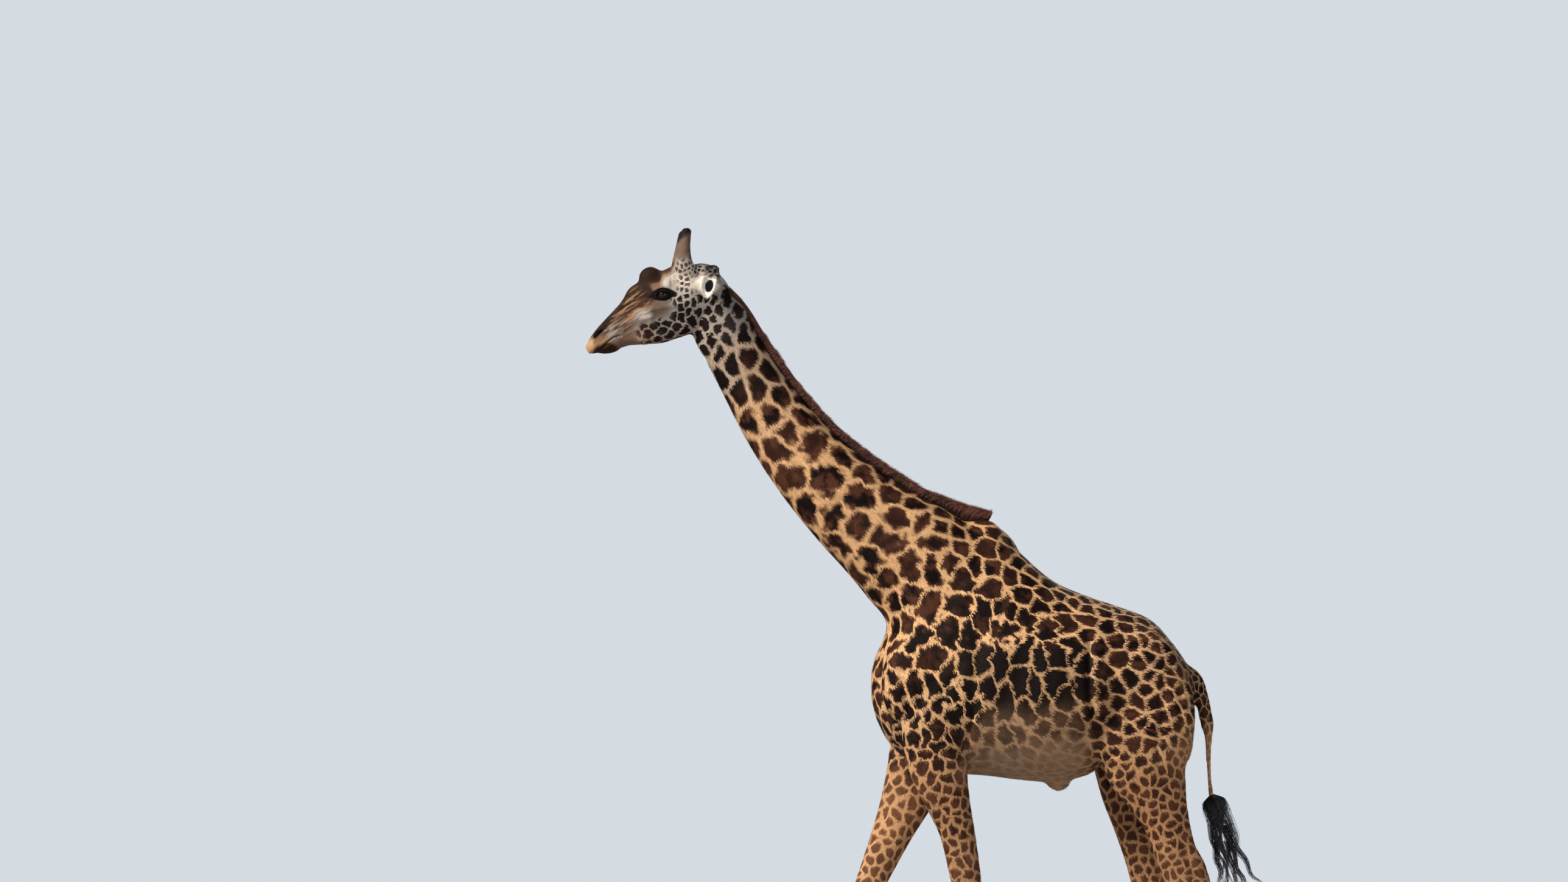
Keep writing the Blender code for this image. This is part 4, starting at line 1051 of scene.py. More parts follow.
# the same for the head, placed by reach and height in its own frame
faceZones = {
    "cheek": (0.305, -0.025, 0.056, 0.05, 0.14, 0.08, 0.14, 1.0, 0.3, 1.05, 0),
    "cheekRear": (0.2, -0.045, 0.036, 0.052, 0.16, 0.08, 0.14, 0.98, 0.1, 1.05, 0),
    "cheekFront": (0.385, 0, 0.058, 0.05, 0.15, 0.09, 0.14, 0.9, 0.38, 0.85, 0),
    "jaw": (0.4, -0.06, 0.052, 0.044, 0.16, 0.1, 0.16, 0.6, 0.45, 0.85, 0),
    "jawRear": (0.24, -0.11, 0.05, 0.05, 0.16, 0.09, 0.16, 0.9, 0.2, 0.95, 0),
    "underEye": (0.29, 0.046, 0.04, 0.04, 0.9, 0.1, 0.1, 1, 0.82, 0.9, 1),
    "whiteStreak": (0.358, 0.058, 0.04, 0.04, 0.9, 0.1, 0.1, 1.14, 0.08, 0.9, 1),
    "temple": (0.11, 0.105, 0.026, 0.028, 0.32, 0.09, 0.16, 1.28, 0, 1, 0),
    "behindEye": (0.16, 0.05, 0.026, 0.036, 0.3, 0.09, 0.16, 1.18, 0.02, 1, 0),
    "browCream": (0.178, 0.138, 0.02, 0.02, 0.9, 0.15, 0.16, 1.2, 0, 0.8, 1),
    "browCreamRear": (0.138, 0.135, 0.024, 0.026, 0.4, 0.12, 0.14, 1.26, 0, 0.95, 0.35),
    "forehead": (0.215, 0.19, 0, 1.25),
    "knob": (0.265, 0.235, 0.03, 0.03, 0.9, 0.2, 0.1, 0, 1.3, 0.9, 1),
    "knobFront": (0.32, 0.19, 0.03, 0.03, 0.9, 0.2, 0.1, 0, 1.22, 0.9, 1),
    "browTop": (0.14, 0.205, 0.1, 1),
    "hornBase": (0.085, 0.165, 0.022, 0.03, 0.32, 0.1, 0.2, 1.15, 0.15, 0.95, 0),
    "horn": (0.03, 0.25, 0.03, 0.05, 0.24, 0.3, 0.2, 0.85, 0.78, 0.6, 0.78),
    "skullBack": (0.01, 0.125, 0.018, 0.022, 0.3, 0.1, 0.2, 1.2, 0, 1.1, 0),
    "occiput": (-0.04, 0.085, 0.024, 0.03, 0.16, 0.1, 0.2, 1.0, 0.2, 1.1, 0),
    "earRoot": (0.02, 0.045, 0.03, 0.03, 0.5, 0.14, 0.14, 1.3, 0, 0.9, 0.55),
    "napeSide": (0.06, -0.03, 0.034, 0.06, 0.24, 0.08, 0.14, 0.95, 0, 1, 0),
    "nape": (-0.04, -0.04, 0.06, 0.115, 0.2, 0.07, 0.14, 0.95, 0, 1, 0),
    "throat": (0.18, -0.15, 0.055, 0.075, 0.2, 0.07, 0.14, 0.85, 0.05, 1, 0),
    "bridge": (0.42, 0.172, 0, 1.25),
    "bridgeSide": (0.43, 0.13, 0.1, 1),
    "noseTop": (0.53, 0.155, 0.05, 1.2),
    "faceSide": (0.48, 0.08, 0.92, 0.74),
    "muzzleTop": (0.605, 0.14, 0.05, 1.2),
    "muzzleSide": (0.585, 0.09, 0.6, 0.78),
    "lipCorner": (0.545, 0.068, 1.1, 0.25),
    "lipFront": (0.668, 0.068, 0, 0.5),
    "lipEdge": (0.676, 0.112, 1.2, 0.05),
    "browSide": (0.29, 0.152, 0, 1.25),
    "browFront": (0.33, 0.118, 0.1, 1),
    "lidTop": (0.232, 0.152, 0.3, 0.85),
    "noseEnd": (0.644, 0.132, 0.08, 0.95),
    "lipTip": (0.7, 0.06, 0, 0.52),
    "lipRear": (0.615, 0.07, 0.2, 0.75),
    "nostrilRear": (0.57, 0.125, 0.1, 1.35),
    "chinFront": (0.652, 0.02, 0, 1.3),
    "chin": (0.61, 0.012, 0, 1.3),
    "jawFront": (0.5, -0.005, 0.035, 0.03, 0.36, 0.15, 0.1, 0.75, 0.85, 0.6, 0.8),
}
plainZone = ((0.03, 0.03, 0.9, 0.2, 0.1), (0.8, 1))  # what a short row has before and after grey and umber
markingSettings = {"sharpness": 24.0, "candidates": 16, "least": 0.8, "seed": 41}


def valueNoise(points, scale, seed):
    place = points * scale + seed * 17.31
    cell = np.floor(place).astype(np.int64)
    part = place - cell
    part = part * part * (3 - 2 * part)
    total = np.zeros(len(points))
    for corner in np.ndindex(2, 2, 2):
        mixed = ((cell + corner) * (374761393, 668265263, 1440662683)).sum(1)
        mixed = ((mixed ^ (mixed >> 13)) * 1274126177) & 0x7FFFFFFF
        value = ((mixed ^ (mixed >> 16)) & 0xFFFF) / 65535.0
        total += np.where(corner, part, 1 - part).prod(1) * value
    return total


def zoneValues(points, onHead):
    rows = list(coatZones.values())
    for reach, height, *rest in faceZones.values():
        place = inHead(reach, 0.0, height)
        rest = rest if len(rest) > 2 else (*plainZone[0], *rest, *plainZone[1])
        rows.append((place.x, place.z, *rest))
    rows = np.array(rows)
    bodyCount = len(coatZones)
    values = np.zeros((len(points), rows.shape[1] - 2))
    flat = points[:, [0, 2]].copy()
    halfFace = 0.075  # the face's half width, which the yaw shifts
    flat[:, 0] -= onHead * halfFace * np.tan(math.radians(headPose["yaw"])) * np.sign(points[:, 1])
    for start in range(0, len(points), batch):
        part = slice(start, start + batch)
        near = 1.0 / (((flat[part, None] - rows[None, :, :2]) ** 2).sum(2) + 0.00015)
        near[:, :bodyCount] **= 2
        near[:, bodyCount:] **= 2.6
        near[:, bodyCount:] *= onHead[part][:, None] + 1e-5
        near[:, :bodyCount] *= (1 - onHead[part])[:, None] + 1e-5
        values[part] = near @ rows[:, 2:] / near.sum(1)[:, None]
    return values


def readFaces(mesh):
    loops = np.empty(len(mesh.loops), int)
    mesh.loops.foreach_get("vertex_index", loops)
    start = np.empty(len(mesh.polygons), int)
    mesh.polygons.foreach_get("loop_start", start)
    count = np.empty(len(mesh.polygons), int)
    mesh.polygons.foreach_get("loop_total", count)
    area = np.empty(len(mesh.polygons))
    mesh.polygons.foreach_get("area", area)
    corners = loops[start[:, None] + np.minimum(np.arange(4)[None], count[:, None] - 1)]
    return loops, start, count, area, corners


def scatterSeeds(centres, stretch, area, rng):
    size = stretch[:, 0] * stretch[:, 2]
    weight = area * size
    total = int(weight.sum() * markingSettings["candidates"])
    picks = rng.choice(len(centres), total, p=weight / weight.sum())
    kept = np.empty((total, 3))
    count = 0
    for pick in picks:
        here = centres[pick]
        if count:
            away = (kept[:count] - here) * stretch[pick]
            if (away * away).sum(1).min() < markingSettings["least"] ** 2:
                continue
        kept[count] = here
        count += 1
    return kept[:count]


def edgeShare(places, stretch, seeds, tones):
    away = np.stack([np.linalg.norm((places - seeds[:, i]) * stretch, axis=1) for i in range(4)], 1)
    first = away.min(1)[:, None]
    sharp = markingSettings["sharpness"]
    weight = np.exp(-sharp * (away - first))
    total = weight.sum(1)
    return -np.log(np.maximum(total - 1, 1e-4)) / sharp, (weight * tones).sum(1) / total


def markSkin(mesh):
    rng = np.random.default_rng(markingSettings["seed"])
    points = pointsOf(mesh)
    found = fields(points)
    zones = zoneValues(points, found["head"])
    cells = zones[:, :2]
    stretch = np.stack([1 / cells[:, 0], 1 / cells.mean(1), 1 / cells[:, 1]], 1)
    amount = zones[:, 4] * cells.mean(1)
    coarse = [valueNoise(points, 24, i) * 1.3 + valueNoise(points, 55, i + 3) * 0.7 - 1 for i in range(3)]
    fine = [valueNoise(points, 85, i + 6) * 2 - 1 for i in range(3)]
    coarse, fine = np.stack(coarse, 1), np.stack(fine, 1)
    onHead = found["head"][:, None]
    warped = points + amount[:, None] * 1.3 * (coarse * (1 - onHead) + fine * onHead)
    loops, start, count, area, corners = readFaces(mesh)
    centres, faceStretch = warped[corners].mean(1), stretch[corners].mean(1)
    seeds = scatterSeeds(centres, faceStretch, area, rng)
    tones = rng.random(len(seeds))
    print("markings,", len(seeds), "patches")
    tree = kdtree.KDTree(len(seeds))
    for i, place in enumerate(seeds):
        tree.insert(place, i)
    tree.balance()
    near = np.array([[hit[1] for hit in tree.find_n(place, 14)] for place in centres])
    away = np.linalg.norm((centres[:, None] - seeds[near]) * faceStretch[:, None], axis=2)
    near = np.take_along_axis(near, np.argsort(away, axis=1)[:, :4], 1)
    found.update(points=points, zones=zones, stretch=stretch, warped=warped, seeds=seeds[near], tones=tones[near])
    found.update(faces=(loops, start, count, area, corners))
    return found


coatFields = ("zoneEdge", "zoneTone", "accent", "hairPlace")  # what the skin and each tuft carry for their colour


def store(mesh, name, values, domain="POINT"):
    width = values.shape[1] if values.ndim > 1 else 1
    kind, field = {1: ("FLOAT", "value"), 3: ("FLOAT_VECTOR", "vector"), 4: ("FLOAT_COLOR", "color")}[width]
    attribute = mesh.attributes.new(name, kind, domain)
    attribute.data.foreach_set(field, np.ascontiguousarray(values, np.float32).ravel())


def accents(points, found):
    blackSkinAndShade, white, bare = np.zeros((3, len(points)))
    reach, apart, height, onHead, horn = (found[name] for name in ("reach", "apart", "height", "head", "horn"))
    for side in (left, right):
        u, v, w = eyePlaces(points, side)
        near = (w > -0.02) & (np.hypot(u, v) < 0.1)
        # a black almond round each eye: dark lid skin, and painted shade in the socket round it
        socket = np.abs(u / np.where(u > 0, 0.074, 0.064)) ** 1.5
        socket += np.abs((v - 0.1 * u) / np.where(v > 0.1 * u, 0.036, 0.033)) ** 1.7
        blackSkinAndShade = np.maximum(blackSkinAndShade, near * step(1.1, 0.8, socket))
        bare = np.maximum(bare, near * step(1.45, 1.15, eyeOpening(u, v)))
        t, sideways, _, (_, opens, _) = earPlaces(points, side)
        t = t / earShape["length"]
        inside = step(-0.2, 0.5, normalsOf(skinMesh) @ opens)
        onEar = found["ears"][0 if side == left else 1]
        # the ear's hollow is painted black: dark hair, and painted shade in the hollow
        hollow = step(1.15, 0.85, np.sqrt(((t - 0.4) / 0.3) ** 2 + (sideways / 0.022) ** 2))
        hollow = hollow * step(0.0, 0.3, inside) * step(0.3, 0.7, onEar)
        white = np.maximum(white, onEar**2 * (1 - hollow) * (0.45 + 0.55 * inside))
        blackSkinAndShade = np.maximum(blackSkinAndShade, hollow * step(0.02, 0.06, t))
        bare = np.maximum(bare, hollow * 0.6)
    slit = nostrilSlit(reach, height, 1.35)
    blackSkinAndShade = np.maximum(blackSkinAndShade, step(1.25, 0.8, slit) * step(0.012, 0.03, np.abs(apart)) * onHead)
    bare = np.maximum(bare, step(1.2, 1.0, slit) * onHead)
    away, _ = awayFromPath(reach, height, faceGrooves["mouth"][0])
    blackSkinAndShade = np.maximum(blackSkinAndShade, 0.8 * step(0.0042, 0.0012, away) * onHead)
    bare = np.maximum(bare, step(0.004, 0.002, away) * onHead)
    blackSkinAndShade = np.maximum(blackSkinAndShade, horn * step(0.285, 0.305, height) * 0.92)
    rear = np.hypot(reach + 0.042, height - 0.1)
    blackSkinAndShade = np.maximum(blackSkinAndShade, 0.8 * step(0.034, 0.018, rear) * onHead * step(0.07, 0.05, np.abs(apart)))
    found["bare"] = bare
    streak = onHead * step(0.29, 0.36, reach) * step(0.66, 0.6, reach) * step(0.02, 0.06, height)
    streak = streak * (0.1 + 0.9 * step(0.02, 0.048, np.abs(apart)))
    return np.stack([np.clip(blackSkinAndShade, 0, 1), np.clip(white, 0, 1), streak, found["leg"]], 1)


def insetSkin(mesh, found):
    depth = np.full(len(found["points"]), coatDepth["body"])
    for name in ("leg", "head", "tail", "horn", "ear"):
        depth = depth * (1 - found[name]) + coatDepth[name] * found[name]
    for side in (left, right):
        u, v, w = eyePlaces(found["points"], side)
        depth = depth * step(0.03, 0.075, np.hypot(u, v) + (w < -0.02))
    found["points"] = found["points"] - depth[:, None] * normalsOf(mesh)
    setPoints(mesh, found["points"])
    found["depth"] = depth


def dressSkin(mesh, found):
    store(mesh, "markPlace", found["warped"])
    store(mesh, "stretch", found["stretch"])
    for i, name in enumerate(("seedA", "seedB", "seedC", "seedD")):
        store(mesh, name, found["seeds"][:, i], "FACE")
    store(mesh, "seedTones", found["tones"], "FACE")
    found["accent"] = accents(found["points"], found)
    found["zoneEdge"], found["zoneTone"] = found["zones"][:, 2:5], found["zones"][:, 5:9]
    for name in coatFields:
        store(mesh, name, found[name])


skinFields = markSkin(skinMesh)
insetSkin(skinMesh, skinFields)
dressSkin(skinMesh, skinFields)
print("skin marked")


# pieces and their flat maps
def storeMap(mesh, places):
    layer = mesh.uv_layers.new(name="OFBake")
    layer.data.foreach_set("uv", places.astype(np.float32).ravel())


def meshFrom(name, points, faces):
    mesh = bpy.data.meshes.new(name)
    mesh.vertices.add(len(points))
    mesh.vertices.foreach_set("co", points.astype(np.float32).ravel())
    mesh.loops.add(faces.size)
    mesh.loops.foreach_set("vertex_index", faces.astype(np.int32).ravel())
    mesh.polygons.add(len(faces))
    mesh.polygons.foreach_set("loop_start", np.arange(0, faces.size, faces.shape[1], dtype=np.int32))
    mesh.update(calc_edges=True)
    mesh.shade_smooth()
    return mesh


def addPiece(name, mesh, material, nodes=()):
    piece = bpy.data.objects.new(name, mesh)
    bpy.context.collection.objects.link(piece)
    setPoints(mesh, pointsOf(mesh) + np.array((forward, 0.0, 0.0)))
    mesh.materials.clear()
    mesh.materials.append(material)
    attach(piece, "root")
    if nodes:
        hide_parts(*nodes)
    return piece


# a chart is one piece of the flat map: 0 body, 1 head, 2 to 5 legs, 6 and 7 ears, 8 and 9 horns, 10 tail
def charts(found, at=None):
    pick = (lambda values: values) if at is None else (lambda values: values[at])
    points = pick(found["points"])
    s, n, reach, apart, height = (pick(found[name]) for name in ("s", "n", "reach", "apart", "height"))
    chart = np.zeros(len(points), int)
    along, turn, size = s.copy(), np.arctan2(points[:, 1], n), np.full(len(points), 0.36)
    onHead = pick(found["head"]) > 0.5
    chart[onHead], along[onHead], size[onHead] = 1, reach[onHead], 0.13
    turn[onHead] = np.arctan2(apart, height - 0.06)[onHead]
    for i, name in enumerate(legs):
        mine = pick(found["legs"][i]) > 0.5
        middle, _, out = legLine(name, points[:, 2])
        chart[mine], along[mine], size[mine] = 2 + i, points[mine, 2], 0.085
        turn[mine] = np.arctan2(points[:, 1] - out * sideOf(name), points[:, 0] - middle)[mine]
    for i, side in enumerate((left, right)):
        mine = pick(found["ears"][i]) > 0.5
        out, sideways, ahead, _ = earPlaces(points, side)
        chart[mine], along[mine], size[mine] = 6 + i, out[mine], 0.03
        turn[mine] = np.arctan2(sideways, ahead + 0.012)[mine]
        mine = (pick(found["horn"]) > 0.5) & (points[:, 1] * side > 0)
        chart[mine], along[mine], size[mine] = 8 + i, height[mine], 0.032
        turn[mine] = np.arctan2(apart - np.sign(apart) * 0.06, reach - 0.16 + 0.55 * height)[mine]
    mine = pick(found["tail"]) > 0.5
    chart[mine], along[mine], size[mine] = 10, points[mine, 2], 0.03
    turn[mine] = np.arctan2(points[:, 1], points[:, 0] - 1.01)[mine]
    return chart, along, turn, size


def packCharts(chart, along, across):
    placed = np.zeros((len(chart), 2))
    shelf, row, tall = 0.0, 0.0, 0.0
    sizes = []
    for kind in np.unique(chart):
        mine = chart == kind
        low = np.array((along[mine].min(), across[mine].min()))
        span = np.array((along[mine].max(), across[mine].max())) - low
        sizes.append((kind, low, span))
    width = max(span[0] for _, _, span in sizes)
    for kind, low, span in sorted(sizes, key=lambda row: -row[2][1]):
        mine = chart == kind
        if row + span[0] > width * 1.02:
            shelf, row, tall = shelf + tall + 0.02 * width, 0.0, 0.0
        placed[mine] = np.stack([along[mine] - low[0] + row, across[mine] - low[1] + shelf], 1)
        row += span[0] + 0.02 * width
        tall = max(tall, span[1])
    placed -= placed.min(0)
    return 0.006 + 0.988 * placed / placed.max(0)


def mapSkin(mesh, found):
    loops, _, count, _, corners = found["faces"]
    chart, along, turn, size = charts(found)
    faceOf = np.repeat(np.arange(len(count)), count)
    ofFace = chart[corners[:, 0]][faceOf]
    faceTurn = turn[corners[:, 0]]
    allPlaces = [along[loops], turn[loops], size[loops]]
    for i in np.unique(ofFace):  # a corner that lies in another chart is placed in its face's own
        mine = (ofFace == i) & (chart[loops] != i)
        if mine.any():
            whole = lambda match: 0 * found["head"] + match
            only = dict(found, head=whole(i == 1), tail=whole(i == 10), horn=whole(i in (8, 9)))
            only["legs"], only["ears"] = [whole(k == i) for k in range(2, 6)], [whole(k == i) for k in (6, 7)]
            for places, other in zip(allPlaces, charts(only, loops[mine])[1:]):
                places[mine] = other
    along, turn, size = allPlaces
    turn += 2 * np.pi * np.round((faceTurn[faceOf] - turn) / (2 * np.pi))
    storeMap(mesh, packCharts(ofFace, along, turn * size))


# coat
# each tuft is a thin pointed pyramid: a root under the skin, a belt of two corners and a tip
coatPieces = {  # how many tufts each piece has
    "coatTrunkLeft": 43000, "coatTrunkRight": 40000, "coatNeckLeft": 33000, "coatNeckRight": 29000,
    "coatForelegs": 31000, "coatHindlegs": 32000, "coatNape": 20000, "coatHead": 49000,
}
tuftShape = {
    "bodyLength": 0.0185, "bodyWidth": 0.0035,
    "legLength": 0.014, "legWidth": 0.003,
    "headLength": 0.0085, "headWidth": 0.0017,
    "earLength": 0.012, "earWidth": 0.0012,
    "coronet": 0.026, "sunk": 0.0013, "belt": 0.36, "keel": 0.0006, "sheen": 0.16, "wander": 0.14, "seed": 7,
    "foreEnd": 0.15, "neckStart": (-0.22, 2.62),  # where the fore and neck pieces end, in X and in X and Z
}
tuftCorners = np.array([(0, 1, 3), (0, 3, 2), (0, 2, 1), (1, 2, 3)])
tuftPatch = np.array([(0.0, 0.0), (0.0015, 0.0012), (-0.0015, 0.0012), (0.0, 0.003)])


def pickRoots(corners, area, weight, amount, rng):
    share = np.cumsum(area * weight)
    spots = (np.arange(amount) + rng.random(amount)) / amount * share[-1]
    faces = np.minimum(np.searchsorted(share, spots), len(area) - 1)
    half = rng.random(amount) < 0.5
    trio = np.where(half[:, None], corners[faces][:, [0, 1, 2]], corners[faces][:, [0, 2, 3]])
    a, b = rng.random(amount), rng.random(amount)
    over = a + b > 1
    a[over], b[over] = 1 - a[over], 1 - b[over]
    return faces, trio, np.stack([1 - a - b, a, b], 1)


def pieceFaces(found, at, leg):  # which faces carry each coat piece
    points, reach = found["points"][at], found["reach"][at]
    onLeg, onHead = leg[at] > 0.5, found["head"][at] > 0.5
    fore, onLeft = points[:, 0] < tuftShape["foreEnd"], points[:, 1] < 0
    neckX, neckZ = tuftShape["neckStart"]
    onNeck = (points[:, 0] < neckX) & (points[:, 2] > neckZ)
    rest = ~onLeg & ~onHead
    return {
        "coatForelegs": onLeg & fore & ~onHead, "coatHindlegs": onLeg & ~fore & ~onHead,
        "coatHead": onHead & (reach > 0.0), "coatNape": onHead & (reach <= 0.0),
        "coatNeckLeft": rest & onNeck & onLeft, "coatNeckRight": rest & onNeck & ~onLeft,
        "coatTrunkLeft": rest & ~onNeck & onLeft, "coatTrunkRight": rest & ~onNeck & ~onLeft,
    }


def addCoat(mesh, found, materials):
    shape = tuftShape
    rng = np.random.default_rng(shape["seed"])
    area, corners = found["faces"][3:]
    normals, at = normalsOf(mesh), corners[:, 0]
    leg = np.maximum(found["leg"], found["tail"] * 0.9)
    kinds = pieceFaces(found, at, leg)
    chart, along, turn, size = charts(found)
    for name, amount in coatPieces.items():
        onFace = name in ("coatHead", "coatNape")
        mine = np.flatnonzero(kinds[name])
        weight = 1.0 - found["bare"][at[mine]]
        if name == "coatHead":
            weight = weight * (0.6 + 0.4 * step(0.05, 0.35, found["reach"][at[mine]]))
        faces, trio, share = pickRoots(corners[mine], area[mine], weight, amount, rng)
        faces = mine[faces]
        blend = lambda values: (values[trio] * (share if values.ndim == 1 else share[..., None])).sum(1)
        root, normal, flow = blend(found["points"]), unit(blend(normals)), blend(found["flow"])
        flow = unit(flow - normal * (flow * normal).sum(1)[:, None], 1e-6)
        swirl = 0.4 * (valueNoise(root, 9, 21) - 0.5) + 0.22 * (valueNoise(root, 34, 22) - 0.5)
        swirl = swirl + 0.12 * rng.standard_normal(amount)
        flow = flow * np.cos(swirl)[:, None] + np.cross(normal, flow) * np.sin(swirl)[:, None]
        side = np.cross(normal, flow)
        length, width = np.full(amount, shape["bodyLength"]), np.full(amount, shape["bodyWidth"])
        for part, kind in ((blend(leg), "leg"), (blend(found["head"]), "head"), (blend(found["ear"]), "ear")):
            length = length * (1 - part) + shape[kind + "Length"] * part
            width = width * (1 - part) + shape[kind + "Width"] * part
        if onFace:
            small = step(-0.2, 0.4, blend(found["reach"]))
            length, width = length * (1.6 - 0.8 * small), width * (1.45 - 0.6 * small)
        length = length + shape["coronet"] * step(0.15, 0.105, root[:, 2])
        length = (length * (0.72 + 0.5 * rng.random(amount)))[:, None]
        depth = (blend(found["depth"]) * (0.7 + 0.45 * rng.random(amount)))[:, None]
        rim = shape["wander"] * rng.standard_normal(amount)[:, None] * length * side
        ridge = shape["belt"] * (depth + shape["sunk"]) - shape["sunk"] - shape["keel"]
        belt = root + flow * (shape["belt"] * length) + normal * ridge
        half = side * (width / 2)[:, None]
        tip = root + flow * length + normal * depth + rim
        points = np.stack([root - shape["sunk"] * normal, belt - half, belt + half, tip], 1)
        cornersOf = (np.arange(amount) * 4)[:, None, None] + tuftCorners
        coat = meshFrom(name, points.reshape(-1, 3), cornersOf.reshape(-1, 3))
        spread = lambda values: np.repeat(values, 4, axis=0)
        seeds, tones = found["seeds"][faces], found["tones"][faces]
        edge, tone = edgeShare(blend(found["warped"]), blend(found["stretch"]), seeds, tones)
        store(coat, "edgeTone", spread(np.stack([edge, tone, rng.random(amount)], 1)))
        for key in coatFields:
            store(coat, key, spread(blend(found[key])))
        tilt = shape["sheen"] * rng.standard_normal((2, amount, 1))
        coat.normals_split_custom_set_from_vertices(spread(normal + side * tilt[0] + flow * (0.6 * tilt[1] - 0.1)))
        # rise darkens each tuft towards its root in the coat's colour: painted shade
        store(coat, "rise", np.tile([0.0, 0.45, 0.45, 1.0], amount))
        nearest = trio[np.arange(amount), share.argmax(1)]
        places = packCharts(chart[nearest], along[nearest], turn[nearest] * size[nearest]) * 0.99 + 0.003
        storeMap(coat, places[:, None, None] + tuftPatch[tuftCorners])
        addPiece(name, coat, materials["coat"])
        print(name, amount, "tufts,", round(float(area[mine].sum()), 2), "m2")


# long hair
def addStrands(name, paths, widths, places, chances, material, nodes=()):
    amount, levels, _ = paths.shape
    along = unit(np.gradient(paths, axis=1))
    side = unit(np.cross(along, np.array((0.13, 0.97, 0.21))))  # any way that no hair runs
    other = np.cross(along, side)
    thirds = (0.0, 2.0944, 4.18879)
    rings = [paths + (side * math.cos(t) + other * math.sin(t)) * widths[..., None] / 2 for t in thirds]
    rings = np.stack(rings, 2)[:, :-1].reshape(amount, -1, 3)
    points = np.concatenate([rings, paths[:, -1:]], 1)
    corners = [(0, 2, 1)]
    for level in range(levels - 2):
        for i in range(3):
            a, b = level * 3 + i, level * 3 + (i + 1) % 3
            corners += [(a, b, b + 3), (a, b + 3, a + 3)]
    top = (levels - 2) * 3
    corners += [(top + i, top + (i + 1) % 3, top + 3) for i in range(3)]
    corners = np.array(corners)
    size = points.shape[1]
    cornersOf = (np.arange(amount) * size)[:, None, None] + corners
    mesh = meshFrom(name, points.reshape(-1, 3), cornersOf.reshape(-1, 3))
    rise = np.append(np.repeat(np.arange(levels - 1), 3), levels - 1) / (levels - 1)
    store(mesh, "rise", np.tile(rise, amount))
    store(mesh, "chance", np.repeat(chances, size))
    store(mesh, "lockPlace", np.repeat(paths[:, 0], size, axis=0))
    places = places - places.min(0)
    places = 0.004 + 0.988 * places / np.maximum(places.max(0), 1e-6)
    across = np.tile([-0.0015, 0.0, 0.0015], levels)[:size]
    patch = np.stack([across, rise * 0.003 + np.tile([0, 0.0004, 0.0], levels)[:size]], 1)
    storeMap(mesh, places[:, None, None] + patch[corners])
    return addPiece(name, mesh, material, nodes)


maneSettings = {
    "strands": 19000, "width": 0.0021, "ragged": 0.026, "lean": 0.016, "clumps": 150, "endTuft": 0.93, "seed": 19,
}
tuftSettings = {
    "strands": 1080, "strays": 55, "strayPlaces": (0.016, -0.014, 0.006), "crown": 0.62, "width": 0.0017,
    "wave": 0.028, "frizz": 0.004, "locks": 9, "lockWidth": 0.0064, "levels": 12, "seed": 23,
}
strayLocks = {
    "outer": (
        (1.1, 1.53, 0.034), (1.15, 1.44, 0.026), (1.205, 1.345, 0.017), (1.256, 1.275, 0.012), (1.3, 1.22, 0.006),
    ),
    "middle": ((1.112, 1.46, 0.034), (1.15, 1.36, 0.025), (1.188, 1.255, 0.015), (1.22, 1.165, 0.006)),
    "inner": ((1.062, 1.48, 0.032), (1.066, 1.37, 0.023), (1.078, 1.262, 0.014), (1.092, 1.165, 0.006)),
}


def alongPath(path, t):
    t = np.clip(t, 0, len(path) - 1.0001)
    i = t.astype(int)
    part = (t - i)[..., None]
    return path[i] * (1 - part) + path[i + 1] * part


def inPlane(flat):  # from X and Z to points in the middle plane
    return np.stack([flat[:, 0], 0 * flat[:, 0], flat[:, 1]], 1)


def skinBelow(tree, starts, way, reach):
    depths = []
    for start, direction in zip(starts, way):
        hit = tree.ray_cast(Vector(start), Vector(direction), reach)[3]
        depths.append(reach if hit is None else hit)
    return np.array(depths)


